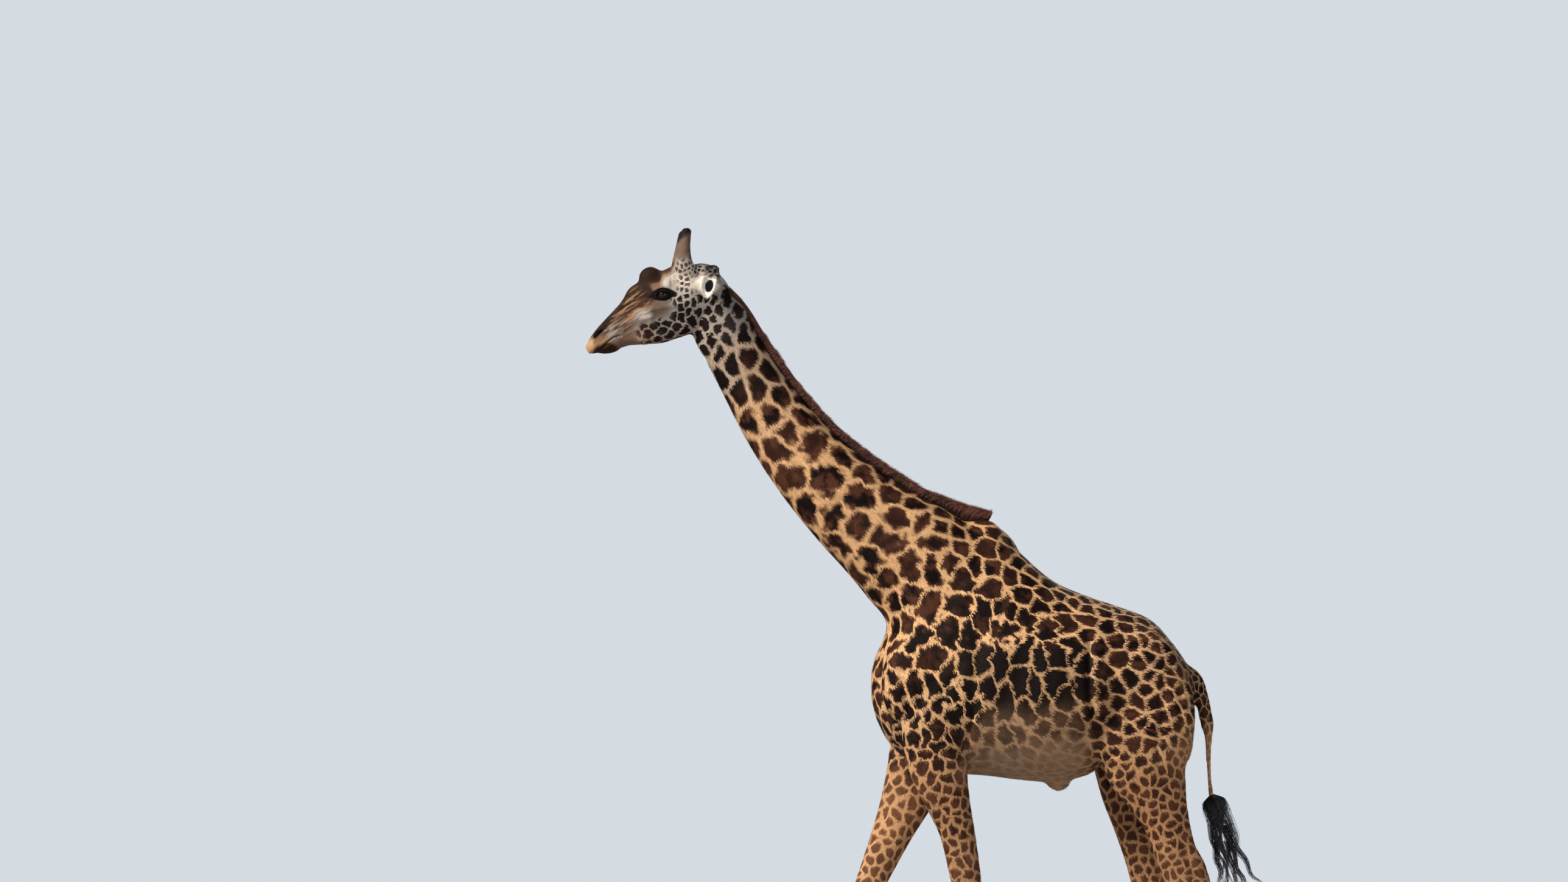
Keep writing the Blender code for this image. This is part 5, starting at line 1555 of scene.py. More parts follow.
def makeMane(mesh, materials):
    rng = np.random.default_rng(maneSettings["seed"])
    tree = BVHTree.FromPolygons([v.co for v in mesh.vertices], [p.vertices for p in mesh.polygons])
    path = smoothPath(list(maneStations.values()), 20)
    ways = headings(path)
    last = len(path) - 1
    inward = inPlane(np.stack([ways[:, 1], -ways[:, 0]], 1))
    depth = np.minimum(skinBelow(tree, inPlane(path), inward, 0.16), 2.4 * path[:, 2])
    amount, clumps = maneSettings["strands"], maneSettings["clumps"]
    t = rng.random(amount) * last
    rows, way, deep = alongPath(path, t), alongPath(ways, t), alongPath(depth[:, None], t)[:, 0]
    shift = t / last * clumps + 0.7 * np.sin(t * 0.9)
    clump = np.clip(shift.astype(int), 0, clumps)
    clumpLift, (clumpLean, clumpSide) = rng.random(clumps + 1), rng.standard_normal((2, clumps + 1))
    out, ahead = inPlane(np.stack([-way[:, 1], way[:, 0]], 1)), inPlane(way)
    lateral = rng.uniform(-1, 1, amount)
    lateral = np.sign(lateral) * np.abs(lateral) ** 0.7
    wide = rows[:, 3]
    rooted = np.where(rng.random(amount) < 0.45, 0.0, rng.uniform(0.05, 0.6, amount)) * np.abs(lateral)
    tipLine = inPlane(rows)
    root = tipLine - out * (deep * (1 - rooted) + 0.006 * (rooted == 0))[:, None]
    root[:, 1] += lateral * wide * (0.95 - 0.35 * rooted)
    lift = valueNoise(tipLine, 11, 5) * 0.5 + valueNoise(tipLine, 38, 6) * 0.5
    drop = maneSettings["ragged"] * (0.9 * lift + 0.6 * rng.random(amount) ** 2) + 0.012 * lateral**2
    lean = maneSettings["lean"] * (1.0 + 0.75 * clumpLean[clump] + 0.9 * rng.standard_normal(amount))
    nearEnd = step(maneSettings["endTuft"], 1.0, t / last)
    drop = drop - nearEnd * 0.02 * rng.random(amount) + 0.03 * nearEnd**3 * rng.random(amount)
    lean = lean * (1 + 0.8 * step(0.45, 0.75, t / last)) * (0.15 + 0.85 * step(1.0, 0.82, t / last))
    lean = lean - 0.012 * nearEnd * rng.random(amount)
    closer = (np.floor(shift) + 0.5 - shift) * last / clumps * 0.001
    tip = tipLine - out * drop[:, None] + ahead * (lean + closer)[:, None]
    tip[:, 1] += lateral * wide * 0.5 + 0.003 * clumpSide[clump] + 0.003 * rng.standard_normal(amount)
    middle = root * 0.5 + tip * 0.5 - ahead * 0.3 * lean[:, None]
    middle[:, 1] += lateral * wide * 0.24
    paths = np.stack([root, middle + 0.003 * rng.standard_normal((amount, 3)), tip], 1)
    widths = maneSettings["width"] * np.array([1.0, 0.95, 0.1]) * (0.7 + 0.6 * rng.random(amount))[:, None]
    places = np.stack([t, lateral], 1)
    chances = 0.7 * rng.random(amount) + 0.3 * clumpLift[clump]
    addStrands("mane", paths, widths, places, chances, materials["mane"], ("mane",))
    rings = []
    for (x, z, _, wide), (alongX, alongZ), deep in list(zip(path, ways, depth))[2:-4:4]:
        half = 0.36 * deep
        x, z = x + alongZ * 0.72 * deep, z - alongX * 0.72 * deep
        ring = []
        for turn in around(20):
            ahead = half * math.cos(turn)
            ring.append(Vector((x - alongZ * ahead, 0.66 * wide * math.sin(turn), z + alongX * ahead)))
        rings.append(ring)
    roots = builtMesh("maneRoots", addRings, rings)
    roots.shade_smooth()
    # the core under the mane takes the dark root colour, partly painted shade
    for key, value in (("rise", 0.05), ("chance", 0.1)):
        store(roots, key, np.full(len(roots.vertices), value))
    store(roots, "lockPlace", pointsOf(roots))
    addPiece("maneRoots", roots, materials["mane"])


def makeTailTuft(materials):
    rng = np.random.default_rng(tuftSettings["seed"])
    path = smoothPath(list(tuftStations.values()), 12)
    ways = headings(path)
    amount, levels = tuftSettings["strands"], tuftSettings["levels"]
    last = len(path) - 1
    crown = rng.random(amount) < tuftSettings["crown"]
    start = last * 0.045 * rng.random(amount)
    end = last * np.where(crown, 0.16 + 0.26 * rng.random(amount), 0.5 + 0.5 * rng.random(amount) ** 1.3)
    turn, share = rng.uniform(0, 2 * math.pi, amount), np.sqrt(rng.random(amount))
    locks = tuftSettings["locks"]
    lock = rng.integers(0, locks, amount)
    lockTurn = 2 * math.pi * (np.arange(locks) * 0.618 % 1)
    lockOut = 0.25 + 0.75 * (np.arange(locks) * 0.37 % 1)
    phase, bend = rng.uniform(0, 2 * math.pi, locks)[lock], rng.uniform(0.7, 1.5, locks)[lock]
    t = start[:, None] + (end - start)[:, None] * np.linspace(0, 1, levels)
    rows, way = alongPath(path, t), alongPath(ways, t)
    lower = t / last
    flare = 0.26 + 0.74 * np.sqrt(np.clip(lower / 0.13, 0, 1))
    flare = flare * (1 + 0.16 * step(0.02, 0.12, lower) * step(0.45, 0.2, lower))
    gathered = 0.93 * step(0.1, 0.46, lower)
    drift = step(0.2, 0.9, lower)
    wave = tuftSettings["wave"] * step(0.12, 0.6, lower) * np.sin(bend[:, None] * 13.0 * lower + phase[:, None])
    ripple = np.sin(rng.uniform(20, 46, amount)[:, None] * lower + rng.uniform(0, 6.28, amount)[:, None])
    frizz = tuftSettings["frizz"] * (0.4 + crown)[:, None] * ripple * step(0.0, 0.08, lower)
    stray = np.where(rng.random(amount) < 0.1, 3.2, 1.0)
    thin = tuftSettings["lockWidth"] * (1 - 0.6 * drift) * (share * stray)[:, None]
    spread = []
    for wide, swing in ((rows[..., 2], np.cos), (rows[..., 3], np.sin)):  # fore and aft, then across
        loose = 1.22 * wide * swing(turn)[:, None] * share[:, None]
        firm = wide * (swing(lockTurn) * lockOut)[lock][:, None]
        inLock = firm * (1 + 0.35 * drift) + thin * swing(turn)[:, None]
        spread.append(flare * (loose * (1 - gathered) + inLock * gathered))
    ahead = 0.84 * (spread[0] + wave + frizz)
    across = 0.84 * (spread[1] + 0.5 * wave * np.cos(phase)[:, None] + 0.6 * frizz)
    paths = np.stack([rows[..., 0] - way[..., 1] * ahead, across, rows[..., 1] + way[..., 0] * ahead], 2)
    widths = tuftSettings["width"] * np.linspace(1.15, 0.35, levels) * (0.7 + 0.6 * rng.random(amount))[:, None]
    allPaths, allWidths = [paths], [widths]
    for place, lock in zip(tuftSettings["strayPlaces"], strayLocks.values()):
        count = tuftSettings["strays"]
        track = smoothPath([(*row, row[2]) for row in lock], 12)
        end = (len(track) - 1) * (0.55 + 0.45 * rng.random(count))
        t = end[:, None] * np.linspace(0, 1, levels)
        rows, way = alongPath(track, t), alongPath(headings(track), t)
        turn, share = rng.uniform(0, 2 * math.pi, count)[:, None], np.sqrt(rng.random(count))[:, None]
        thin = 0.75 * rows[..., 2] * share
        wave = 0.01 * np.sin(9.0 * t / len(track) * 1.6 + place * 90) * step(0.1, 0.5, t / len(track))
        ahead = thin * np.cos(turn) + wave
        x, z = rows[..., 0] - way[..., 1] * ahead, rows[..., 1] + way[..., 0] * ahead
        allPaths.append(np.stack([x, place + thin * np.sin(turn), z], 2))
        allWidths.append(0.0019 * np.linspace(1.1, 0.4, levels) * (0.7 + 0.6 * rng.random(count))[:, None])
    paths, widths = np.concatenate(allPaths), np.concatenate(allWidths)
    places = np.stack([np.arctan2(paths[:, 0, 1], paths[:, 0, 0] - 1.05), paths[:, 0, 2]], 1)
    chances = rng.random(len(paths))
    addStrands("tailTuft", paths, widths, places, chances, materials["tailHair"], ("tail_tuft",))


fringeSettings = {
    "lashes": ((True, 110, 0.022), (False, 50, 0.008)),  # upper lid or not, how many, length
    "lashWidths": (0.0011, 0.001, 0.0008, 0.0002),
    "earHairs": 620, "earWidths": (0.0016, 0.0013, 0.0003), "seed": 31,
}


def makeFringes(materials):
    rng = np.random.default_rng(fringeSettings["seed"])
    paths, radius = [], eyeRadius()
    for side in (left, right):
        ahead, above, outward = eyeAxes(side)
        centre = eyeCentre(side)
        for upper, count, long in fringeSettings["lashes"]:
            u = rng.uniform(-0.98, 0.98, count) * eyeShape["halfLength"]
            rise = np.sqrt(1 - (u / eyeShape["halfLength"]) ** 2)
            edge = eyeShape["upper"] if upper else -eyeShape["lower"]
            v = 0.12 * u + edge * rise * (1.06 + 0.06 * rng.random(count))
            w = np.sqrt(np.maximum((radius + 0.0045) ** 2 - u**2 - v**2, 1e-6))
            base = centre + u[:, None] * ahead + v[:, None] * above + w[:, None] * outward
            length = long * (0.6 + 0.4 * rise) * (0.75 + 0.5 * rng.random(count))
            fall = (-0.12 if upper else -0.7) + 0.15 * rng.standard_normal(count)
            lean = 0.35 * u / eyeShape["halfLength"] + 0.12 * rng.standard_normal(count)
            way = unit(outward + fall[:, None] * above + lean[:, None] * ahead)
            mid = base + way * (0.55 * length)[:, None]
            tip = base + way * length[:, None] + above * ((0.18 if upper else -0.05) * length)[:, None]
            paths.append(np.stack([base - outward * 0.002, mid * 0.5 + base * 0.5, mid, tip], 1))
    paths = np.concatenate(paths)
    widths = np.tile(fringeSettings["lashWidths"], (len(paths), 1))
    places = np.stack([np.arange(len(paths)) % 37 / 37, paths[:, 0, 0]], 1)
    addStrands("lashes", paths, widths, places, rng.random(len(paths)), materials["lash"])
    paths, count = [], fringeSettings["earHairs"]
    for side in (left, right):
        root, out, opens, across = (np.array(axis) for axis in earFrame(side))
        t = rng.uniform(0.06, 0.97, count)
        edge = np.where(rng.random(count) < 0.5, -1.0, 1.0)
        width = earShape["halfWidth"] * np.maximum(0.06, np.sin(math.pi * (0.13 + 0.87 * t) ** 0.85) ** 0.62)
        cup, bend = width * (0.95 - 0.45 * t), 1.25 - 0.25 * t
        base = root + out * (earShape["length"] * t)[:, None] + across * (edge * width * 0.97)[:, None]
        base = base - opens * (cup * (np.cos(bend) - 0.35))[:, None]
        length = 0.016 + 0.01 * rng.random(count)
        inward = (-0.35 * edge + 0.25 * rng.standard_normal(count))[:, None]
        way = unit(out * 0.75 + across * inward + opens * 0.28)
        middle = base + way * (0.4 * length)[:, None] + opens * 0.001
        paths.append(np.stack([base - out * 0.002, middle, base + way * length[:, None]], 1))
    paths = np.concatenate(paths)
    widths = np.tile(fringeSettings["earWidths"], (len(paths), 1))
    places = np.stack([paths[:, 0, 0] + 4 * paths[:, 0, 1], paths[:, 0, 2]], 1)
    addStrands("earFringe", paths, widths, places, rng.random(len(paths)), materials["earHair"])


# eyes and hooves
eyeballShape = {"cornea": 0.035, "corneaWidth": 0.5, "set": 0.0012, "levels": 33, "sides": 48}


def makeEyes(materials):
    shape, radius = eyeballShape, eyeRadius()
    for side, node, name in ((left, "eye_left", "eyeLeft"), (right, "eye_right", "eyeRight")):
        axes, centre = eyeAxes(side), eyeCentre(side)
        ahead, above, outward = axes
        rings = []
        for up in np.linspace(0.02, math.pi - 0.02, shape["levels"]):
            bulge = radius * (1 + shape["cornea"] * bump(up, shape["corneaWidth"]))
            flat, middle = bulge * math.sin(up), centre + outward * (math.cos(up) * bulge - shape["set"])
            turns = around(shape["sides"])
            rings.append([Vector(middle + flat * (ahead * math.cos(t) + above * math.sin(t))) for t in turns])
        mesh = builtMesh(name, addRings, rings)
        mesh.shade_smooth()
        store(mesh, "gaze", (pointsOf(mesh) - centre) @ np.array(axes).T / radius)
        addPiece(name, mesh, materials["eye"], (node,))


def hoofRings(x, near, far, turned):
    shape = hoofShape
    middle, half = (near + far) / 2, abs(far - near) / 2
    rings = []
    low, headStart = shape["bevelHeight"], 0.8
    levels = [0.0, 0.012, low, *np.linspace(0.08, headStart, shape["levels"]), 0.85, 0.9, 0.94, 0.97, 1.0]
    for level in levels:
        front = -shape["toe"] + shape["toeSlope"] * level + shape["hollow"] * math.sin(math.pi * level)
        back = shape["heel"] - 0.012 * level
        inset = shape["bevel"] * (1 - min(1.0, level / low)) ** 2
        inset += shape["headInset"] * max(0.0, (level - headStart) / (1 - headStart)) ** 2
        ring = []
        for turn in around(shape["sides"]):
            ahead, across = math.cos(turn), math.sin(turn)
            power = shape["square"]
            square = min(1.0, (abs(ahead) ** power + abs(across) ** power) ** (-1 / power))
            reach = (front + back) / 2 + ((back - front) / 2 - inset) * ahead * square
            share = (1 - ahead) / 2 * (1 - 0.32 * max(0.0, -ahead) ** 3)
            height = shape["heelHeight"] + (shape["toeHeight"] - shape["heelHeight"]) * share
            width = (half - inset) * (1 - 0.34 * max(0.0, -ahead) ** 2) * (1 - 0.16 * level) * square
            width = width * (0.9 if across * turned < 0 else 1.0)  # flatter towards the cleft
            ring.append(Vector((x + reach, middle + width * across, height * level)))
        rings.append(ring)
    return rings


def makeHooves(materials):
    for name in legs:
        side = sideOf(name)
        x, *_, out = legStations[name]["hoofHead"]
        for place, turned in (("inner", -side), ("outer", side)):
            near = side * out + turned * hoofShape["cleft"] / 2
            far = near + turned * hoofShape["width"]
            title = "hoof" + name.replace("leg", "").capitalize().replace("left", "Left").replace("right", "Right")
            mesh = builtMesh(title + place.capitalize(), addRings, hoofRings(x, near, far, turned))
            mesh.shade_smooth()
            store(mesh, "hornPlace", pointsOf(mesh) - np.array((x, (near + far) / 2, 0.0)))
            node = "hoof_" + name.replace("legLeft", "_left_").replace("legRight", "_right_") + place
            addPiece(mesh.name, mesh, materials["hoof"], (node,))


# materials
# the grey-white and leg tan colours are darkened as painted shade, and the black skin colour also paints shade
# round the eyes and in the ears' hollows
coatColours = {
    "Tan": (0.62, 0.36, 0.178), "Grey White": (0.245, 0.222, 0.207), "Brown Patch": (0.128, 0.044, 0.023),
    "Dark Patch": (0.005, 0.0024, 0.0022), "Umber": (0.078, 0.038, 0.023), "Black Skin": (0.004, 0.003, 0.004),
    "White Hair": (0.74, 0.69, 0.62), "Leg Tan": (0.42, 0.215, 0.095),
}
hairColours = {
    # the mane's dark root colour is partly painted shade among the strands
    "mane": ((0.024, 0.008, 0.006), (0.25, 0.082, 0.044)),
    # the tail hair's pale blue-grey tips are painted highlight
    "tailHair": ((0.006, 0.005, 0.006), (0.085, 0.082, 0.1)),
    "earHair": ((0.42, 0.37, 0.31), (0.74, 0.69, 0.62)),
    "lash": ((0.004, 0.003, 0.003), (0.012, 0.009, 0.008)),
}
eyeColours = {"Iris": (0.014, 0.007, 0.004), "Rim": (0.006, 0.004, 0.003), "White": (0.018, 0.011, 0.009)}
hoofColours = {"Horn": (0.05, 0.036, 0.028), "Pale Horn": (0.12, 0.09, 0.066), "Dust": (0.22, 0.165, 0.115)}


class Wiring:
    def __init__(self, tree):
        self.tree, self.count = tree, 0

    def put(self, kind, *values, **settings):
        node = self.tree.nodes.new(kind)
        node.location = (190 * (self.count % 14), -240 * (self.count // 14))
        self.count += 1
        named = settings.pop("named", {})
        for key, value in settings.items():
            setattr(node, key, value)
        pairs = [*zip(node.inputs, values), *((node.inputs[key], value) for key, value in named.items())]
        for socket, value in pairs:
            if isinstance(value, bpy.types.NodeSocket):
                self.tree.links.new(value, socket)
            elif value is not None:
                socket.default_value = value
        return node

    def math(self, operation, *values, clamp=False):
        return self.put("ShaderNodeMath", *values, operation=operation, use_clamp=clamp).outputs[0]

    def times(self, *values, **settings):
        return self.math("MULTIPLY", *values, **settings)

    def plus(self, *values, **settings):
        return self.math("ADD", *values, **settings)

    def line(self, value, slope, start, **settings):
        return self.math("MULTIPLY_ADD", value, slope, start, **settings)

    def vector(self, operation, *values):
        node = self.put("ShaderNodeVectorMath", *values, operation=operation)
        return node.outputs["Value" if operation == "LENGTH" else "Vector"]

    def scaled(self, vector, amount):
        named = {"Vector": vector, "Scale": amount}
        return self.put("ShaderNodeVectorMath", operation="SCALE", named=named).outputs[0]

    def mix(self, share, first, second, kind="MIX"):
        node = self.put("ShaderNodeMix", data_type="RGBA", blend_type=kind, clamp_factor=True)
        for i, value in ((0, share), (6, first), (7, second)):
            if isinstance(value, bpy.types.NodeSocket):
                self.tree.links.new(value, node.inputs[i])
            else:
                node.inputs[i].default_value = (*value, 1.0) if isinstance(value, tuple) else value
        return node.outputs[2]

    def smooth(self, value, low, high, start=0.0, end=1.0):
        values = (value, low, high, start, end)
        return self.put("ShaderNodeMapRange", *values, interpolation_type="SMOOTHSTEP").outputs[0]

    def noise(self, vector, scale, detail=2.0, roughness=0.5, output="Fac"):
        if isinstance(scale, tuple):
            vector, scale = self.vector("MULTIPLY", vector, scale), 1.0
        named = {"Vector": vector, "Scale": scale, "Detail": detail, "Roughness": roughness}
        return self.put("ShaderNodeTexNoise", named=named).outputs[output]

    def parts(self, value, kind="XYZ"):
        return self.put("ShaderNodeSeparate" + kind, value).outputs

    def grey(self, value):
        return self.put("ShaderNodeCombineColor", value, value, value).outputs[0]

    def attribute(self, name):
        return self.put("ShaderNodeAttribute", attribute_name=name).outputs

    def join(self, values, sockets):
        for name, value in values.items():
            self.tree.links.new(value, sockets[name])


def newGroup(name, inputs, outputs):
    tree = bpy.data.node_groups.new(name, "ShaderNodeTree")
    kinds = {"float": "NodeSocketFloat", "vector": "NodeSocketVector", "colour": "NodeSocketColor"}
    for title, kind, value in inputs:
        socket = tree.interface.new_socket(title, in_out="INPUT", socket_type=kinds[kind])
        if value is not None:
            socket.default_value = (*value, 1.0) if kind == "colour" else value
    for title, kind in outputs:
        tree.interface.new_socket(title, in_out="OUTPUT", socket_type=kinds[kind])
    wires = Wiring(tree)
    given = wires.put("NodeGroupInput").outputs
    last = tree.nodes.new("NodeGroupOutput")
    return wires, given, last.inputs


def useGroup(wires, wiring, **named):
    node = wires.put("ShaderNodeGroup", node_tree=wiring.tree)
    for title, value in named.items():
        title = "".join(" " + c if c.isupper() else c for c in title).title()
        if isinstance(value, bpy.types.NodeSocket):
            wires.tree.links.new(value, node.inputs[title])
        else:
            node.inputs[title].default_value = value
    return node.outputs


def patchEdgeGroup():
    inputs = [("Place", "vector", None), ("Stretch", "vector", None)]
    inputs += [(f"Seed {letter}", "vector", None) for letter in "ABCD"]
    inputs += [("Tones", "colour", None), ("Last Tone", "float", 0.5), ("Rag", "float", 0.2)]
    wires, given, made = newGroup("patchEdge", inputs, [("Edge", "float"), ("Tone", "float")])
    tear = wires.vector("SUBTRACT", wires.noise(given["Place"], 55.0, 3.0, 0.6, "Color"), (0.5, 0.5, 0.5))
    place = wires.vector("ADD", given["Place"], wires.scaled(tear, wires.times(given["Rag"], 0.055)))
    away = []
    for letter in "ABCD":
        gap = wires.vector("SUBTRACT", place, given[f"Seed {letter}"])
        away.append(wires.vector("LENGTH", wires.vector("MULTIPLY", gap, given["Stretch"])))
    first = wires.math("MINIMUM", wires.math("MINIMUM", away[0], away[1]), wires.math("MINIMUM", away[2], away[3]))
    sharp = markingSettings["sharpness"]
    weights = []
    for value in away:
        gap = wires.times(wires.math("SUBTRACT", value, first), -sharp)
        weights.append(wires.math("POWER", math.e, gap))
    total = wires.plus(wires.plus(weights[0], weights[1]), wires.plus(weights[2], weights[3]))
    rest = wires.math("MAXIMUM", wires.math("SUBTRACT", total, 1.0), 0.0001)
    edge = wires.math("DIVIDE", wires.math("LOGARITHM", rest, math.e), -sharp)
    tones = wires.parts(given["Tones"], "Color")
    blend = 0.0
    for weight, tone in zip(weights, (*tones, given["Last Tone"])):
        blend = wires.plus(blend, wires.times(weight, tone))
    wires.join({"Edge": edge, "Tone": wires.math("DIVIDE", blend, total)}, made)
    return wires


def coatColourGroup():
    inputs = [("Edge", "float", 0.5), ("Tone", "float", 0.5), ("Chance", "float", 0.5), ("Rise", "float", 0.4)]
    inputs += [("Zone Edge", "vector", None), ("Zone Tone", "colour", None), ("Fade", "float", 0.0)]
    inputs += [("Accent", "colour", None), ("Leg", "float", 0.0), ("Hair Place", "vector", None)]
    inputs += [(title, "colour", colour) for title, colour in coatColours.items()]
    wires, given, made = newGroup("coatColour", inputs, [("Color", "colour"), ("Dark", "float")])
    gap, soft, rag = wires.parts(given["Zone Edge"])
    grey, umberAndShade, dark = wires.parts(given["Zone Tone"], "Color")
    blackSkinAndShade, white, streak = wires.parts(given["Accent"], "Color")
    strands = wires.noise(given["Hair Place"], (30.0, 190.0, 190.0), 3.0, 0.6)
    spread = wires.math("SUBTRACT", strands, 0.5)
    edge = wires.plus(given["Edge"], wires.times(spread, wires.line(rag, 0.3, 0.1)))
    patch = wires.smooth(edge, wires.math("SUBTRACT", gap, soft), wires.plus(gap, soft))
    patch = wires.times(patch, wires.math("SUBTRACT", 1.0, given["Fade"], clamp=True))
    core = wires.smooth(edge, wires.plus(gap, 0.03), wires.plus(gap, 0.28))
    core = wires.times(core, wires.line(given["Tone"], 0.9, 0.7))
    cloud = wires.noise(given["Hair Place"], (16.0, 16.0, 16.0), 2.0, 0.5)
    core = wires.times(core, wires.smooth(cloud, 0.36, 0.54))
    square = wires.math("POWER", wires.math("MINIMUM", dark, 1.0), 2.0)
    rest = wires.times(wires.math("SUBTRACT", 1.0, square), 0.97)
    depth = wires.line(core, rest, square, clamp=True)
    broad = wires.noise(given["Hair Place"], (7.0, 7.0, 7.0), 3.0, 0.6)
    # the legs' tan is darker than the body's as painted shade
    ground = wires.mix(wires.times(given["Leg"], 0.75), given["Tan"], given["Leg Tan"])
    # grey-white hair, darkened as painted shade
    ground = wires.mix(wires.math("MINIMUM", grey, 1.0), ground, given["Grey White"])
    cream = wires.mix(0.28, given["White Hair"], given["Tan"])
    ground = wires.mix(wires.smooth(grey, 1.0, 1.4, 0.0, 0.75), ground, cream)
    # umber darkens the ground: dark brown hair on the face, painted shade on the flanks, belly, elbows, thighs and
    # lower legs
    ground = wires.mix(wires.math("MINIMUM", umberAndShade, 1.0), ground, given["Umber"])
    deepBrown = wires.smooth(umberAndShade, 0.75, 1.25)
    ground = wires.mix(deepBrown, ground, wires.mix(0.82, given["Umber"], given["Dark Patch"]))
    ground = wires.mix(1.0, ground, wires.grey(wires.line(broad, 0.55, 0.72)), "MULTIPLY")
    spots = wires.mix(depth, given["Brown Patch"], given["Dark Patch"])
    colour = wires.mix(patch, ground, spots)
    slope = {"Rotation": (0.0, 0.0, math.radians(24)), "Scale": (11.0, 78.0, 48.0)}
    slant = wires.put("ShaderNodeMapping", given["Hair Place"], named=slope)
    stripes = wires.noise(slant.outputs[0], 1.0, 3.0, 0.55)
    for near, far, most, hair in ((0.52, 0.66, 0.75, "Dark Patch"), (0.49, 0.37, 0.28, "Tan")):
        share = wires.times(streak, wires.smooth(stripes, near, far, 0.0, most))
        colour = wires.mix(share, colour, given[hair])
    # black skin, which round the eyes and in the ears' hollows is also painted shade
    colour = wires.mix(blackSkinAndShade, colour, given["Black Skin"])
    colour = wires.mix(white, colour, given["White Hair"])
    # light: darker towards each tuft's root, and on the skin between the tufts, as painted shade; chance and
    # strands vary the tone at random
    light = wires.line(given["Rise"], 0.24, 0.8)
    light = wires.times(light, wires.line(given["Chance"], 0.14, 0.93))
    light = wires.times(light, wires.line(strands, 0.22, 0.9))
    colour = wires.mix(1.0, colour, wires.grey(light), "MULTIPLY")
    wires.join({"Color": colour, "Dark": wires.math("MAXIMUM", blackSkinAndShade, wires.times(patch, depth))}, made)
    return wires


def hairBumpGroup():
    wires, given, made = newGroup("hairBump", [("Hair Place", "vector", None)], [("Height", "float")])
    fine = wires.noise(given["Hair Place"], (70.0, 520.0, 520.0), 2.0, 0.55)
    locks = wires.noise(given["Hair Place"], (26.0, 120.0, 120.0), 2.0, 0.5)
    wires.join({"Height": wires.line(locks, 1.4, fine)}, made)
    return wires


def longHairGroup():
    inputs = [("Root", "colour", (0.05, 0.02, 0.01)), ("Tip", "colour", (0.2, 0.06, 0.03)), ("Rise", "float", 0.5)]
    inputs += [("Chance", "float", 0.5), ("Lock Place", "vector", None)]
    wires, given, made = newGroup("longHair", inputs, [("Color", "colour")])
    locks = wires.noise(given["Lock Place"], 22.0, 2.0, 0.6)
    # strands blend from the root colour to the tip colour along their rise; the mane's darker roots are partly
    # painted shade and the tail tuft's paler tips are painted highlight
    share = wires.plus(wires.smooth(given["Rise"], 0.2, 1.0), wires.line(given["Chance"], 0.5, -0.25), clamp=True)
    share = wires.plus(share, wires.line(locks, 0.9, -0.45), clamp=True)
    wires.join({"Color": wires.mix(share, given["Root"], given["Tip"])}, made)
    return wires


def irisGroup():
    inputs = [("Gaze", "vector", None)] + [(title, "colour", colour) for title, colour in eyeColours.items()]
    wires, given, made = newGroup("eyeball", inputs, [("Color", "colour")])
    u, v, _ = wires.parts(given["Gaze"])
    flat = wires.math("SQRT", wires.line(u, u, wires.times(v, v)))
    wide = wires.math("POWER", wires.math("DIVIDE", u, 0.36), 2.0)
    tall = wires.math("POWER", wires.math("DIVIDE", v, 0.2), 2.0)
    pupil = wires.smooth(wires.math("SQRT", wires.plus(wide, tall)), 1.15, 0.9)
    turned = wires.put("ShaderNodeCombineXYZ", wires.math("ARCTAN2", v, u), wires.times(flat, 0.6), 0.0)
    rays = wires.noise(turned.outputs[0], 9.0, 3.0)
    iris = wires.mix(wires.smooth(rays, 0.3, 0.7), given["Rim"], given["Iris"])
    colour = wires.mix(wires.smooth(flat, 0.56, 0.66), iris, given["Rim"])
    colour = wires.mix(wires.smooth(flat, 0.74, 0.86), colour, given["White"])
    wires.join({"Color": wires.mix(pupil, colour, (0.002, 0.002, 0.002))}, made)
    return wires


def hornGroup():
    inputs = [("Place", "vector", None)] + [(title, "colour", colour) for title, colour in hoofColours.items()]
    outputs = [("Color", "colour"), ("Height", "float"), ("Roughness", "float")]
    wires, given, made = newGroup("hoofHorn", inputs, outputs)
    z = wires.parts(given["Place"])[2]
    waves = wires.times(wires.noise(given["Place"], 26.0), 9.0)
    rings = wires.math("SINE", wires.plus(wires.times(z, 420.0), waves))
    streaks = wires.noise(given["Place"], (120.0, 120.0, 7.0), 3.0, 0.6)
    colour = wires.mix(wires.smooth(streaks, 0.4, 0.75), given["Horn"], given["Pale Horn"])
    scuff = wires.noise(given["Place"], 60.0, 4.0, 0.7)
    low = wires.smooth(z, 0.03, 0.0)
    dust = wires.times(wires.smooth(scuff, 0.45, 0.72), wires.line(low, 0.5, 0.35), clamp=True)
    colour = wires.mix(dust, colour, given["Dust"])
    height = wires.line(rings, 0.16, wires.plus(wires.times(streaks, 0.7), wires.times(scuff, 0.6)))
    wires.join({"Color": colour, "Height": height, "Roughness": wires.line(dust, 0.35, 0.42)}, made)
    return wires


def newMaterial(name, roughness, specular=0.4):
    material = bpy.data.materials.new(name)
    material.use_nodes = True
    wires = Wiring(material.node_tree)
    shader = next(node for node in material.node_tree.nodes if node.type == "BSDF_PRINCIPLED")
    wires.count = 3
    shader.location = (3000, 0)
    shader.inputs["Roughness"].default_value = roughness
    shader.inputs["Specular IOR Level"].default_value = specular
    return material, wires, shader


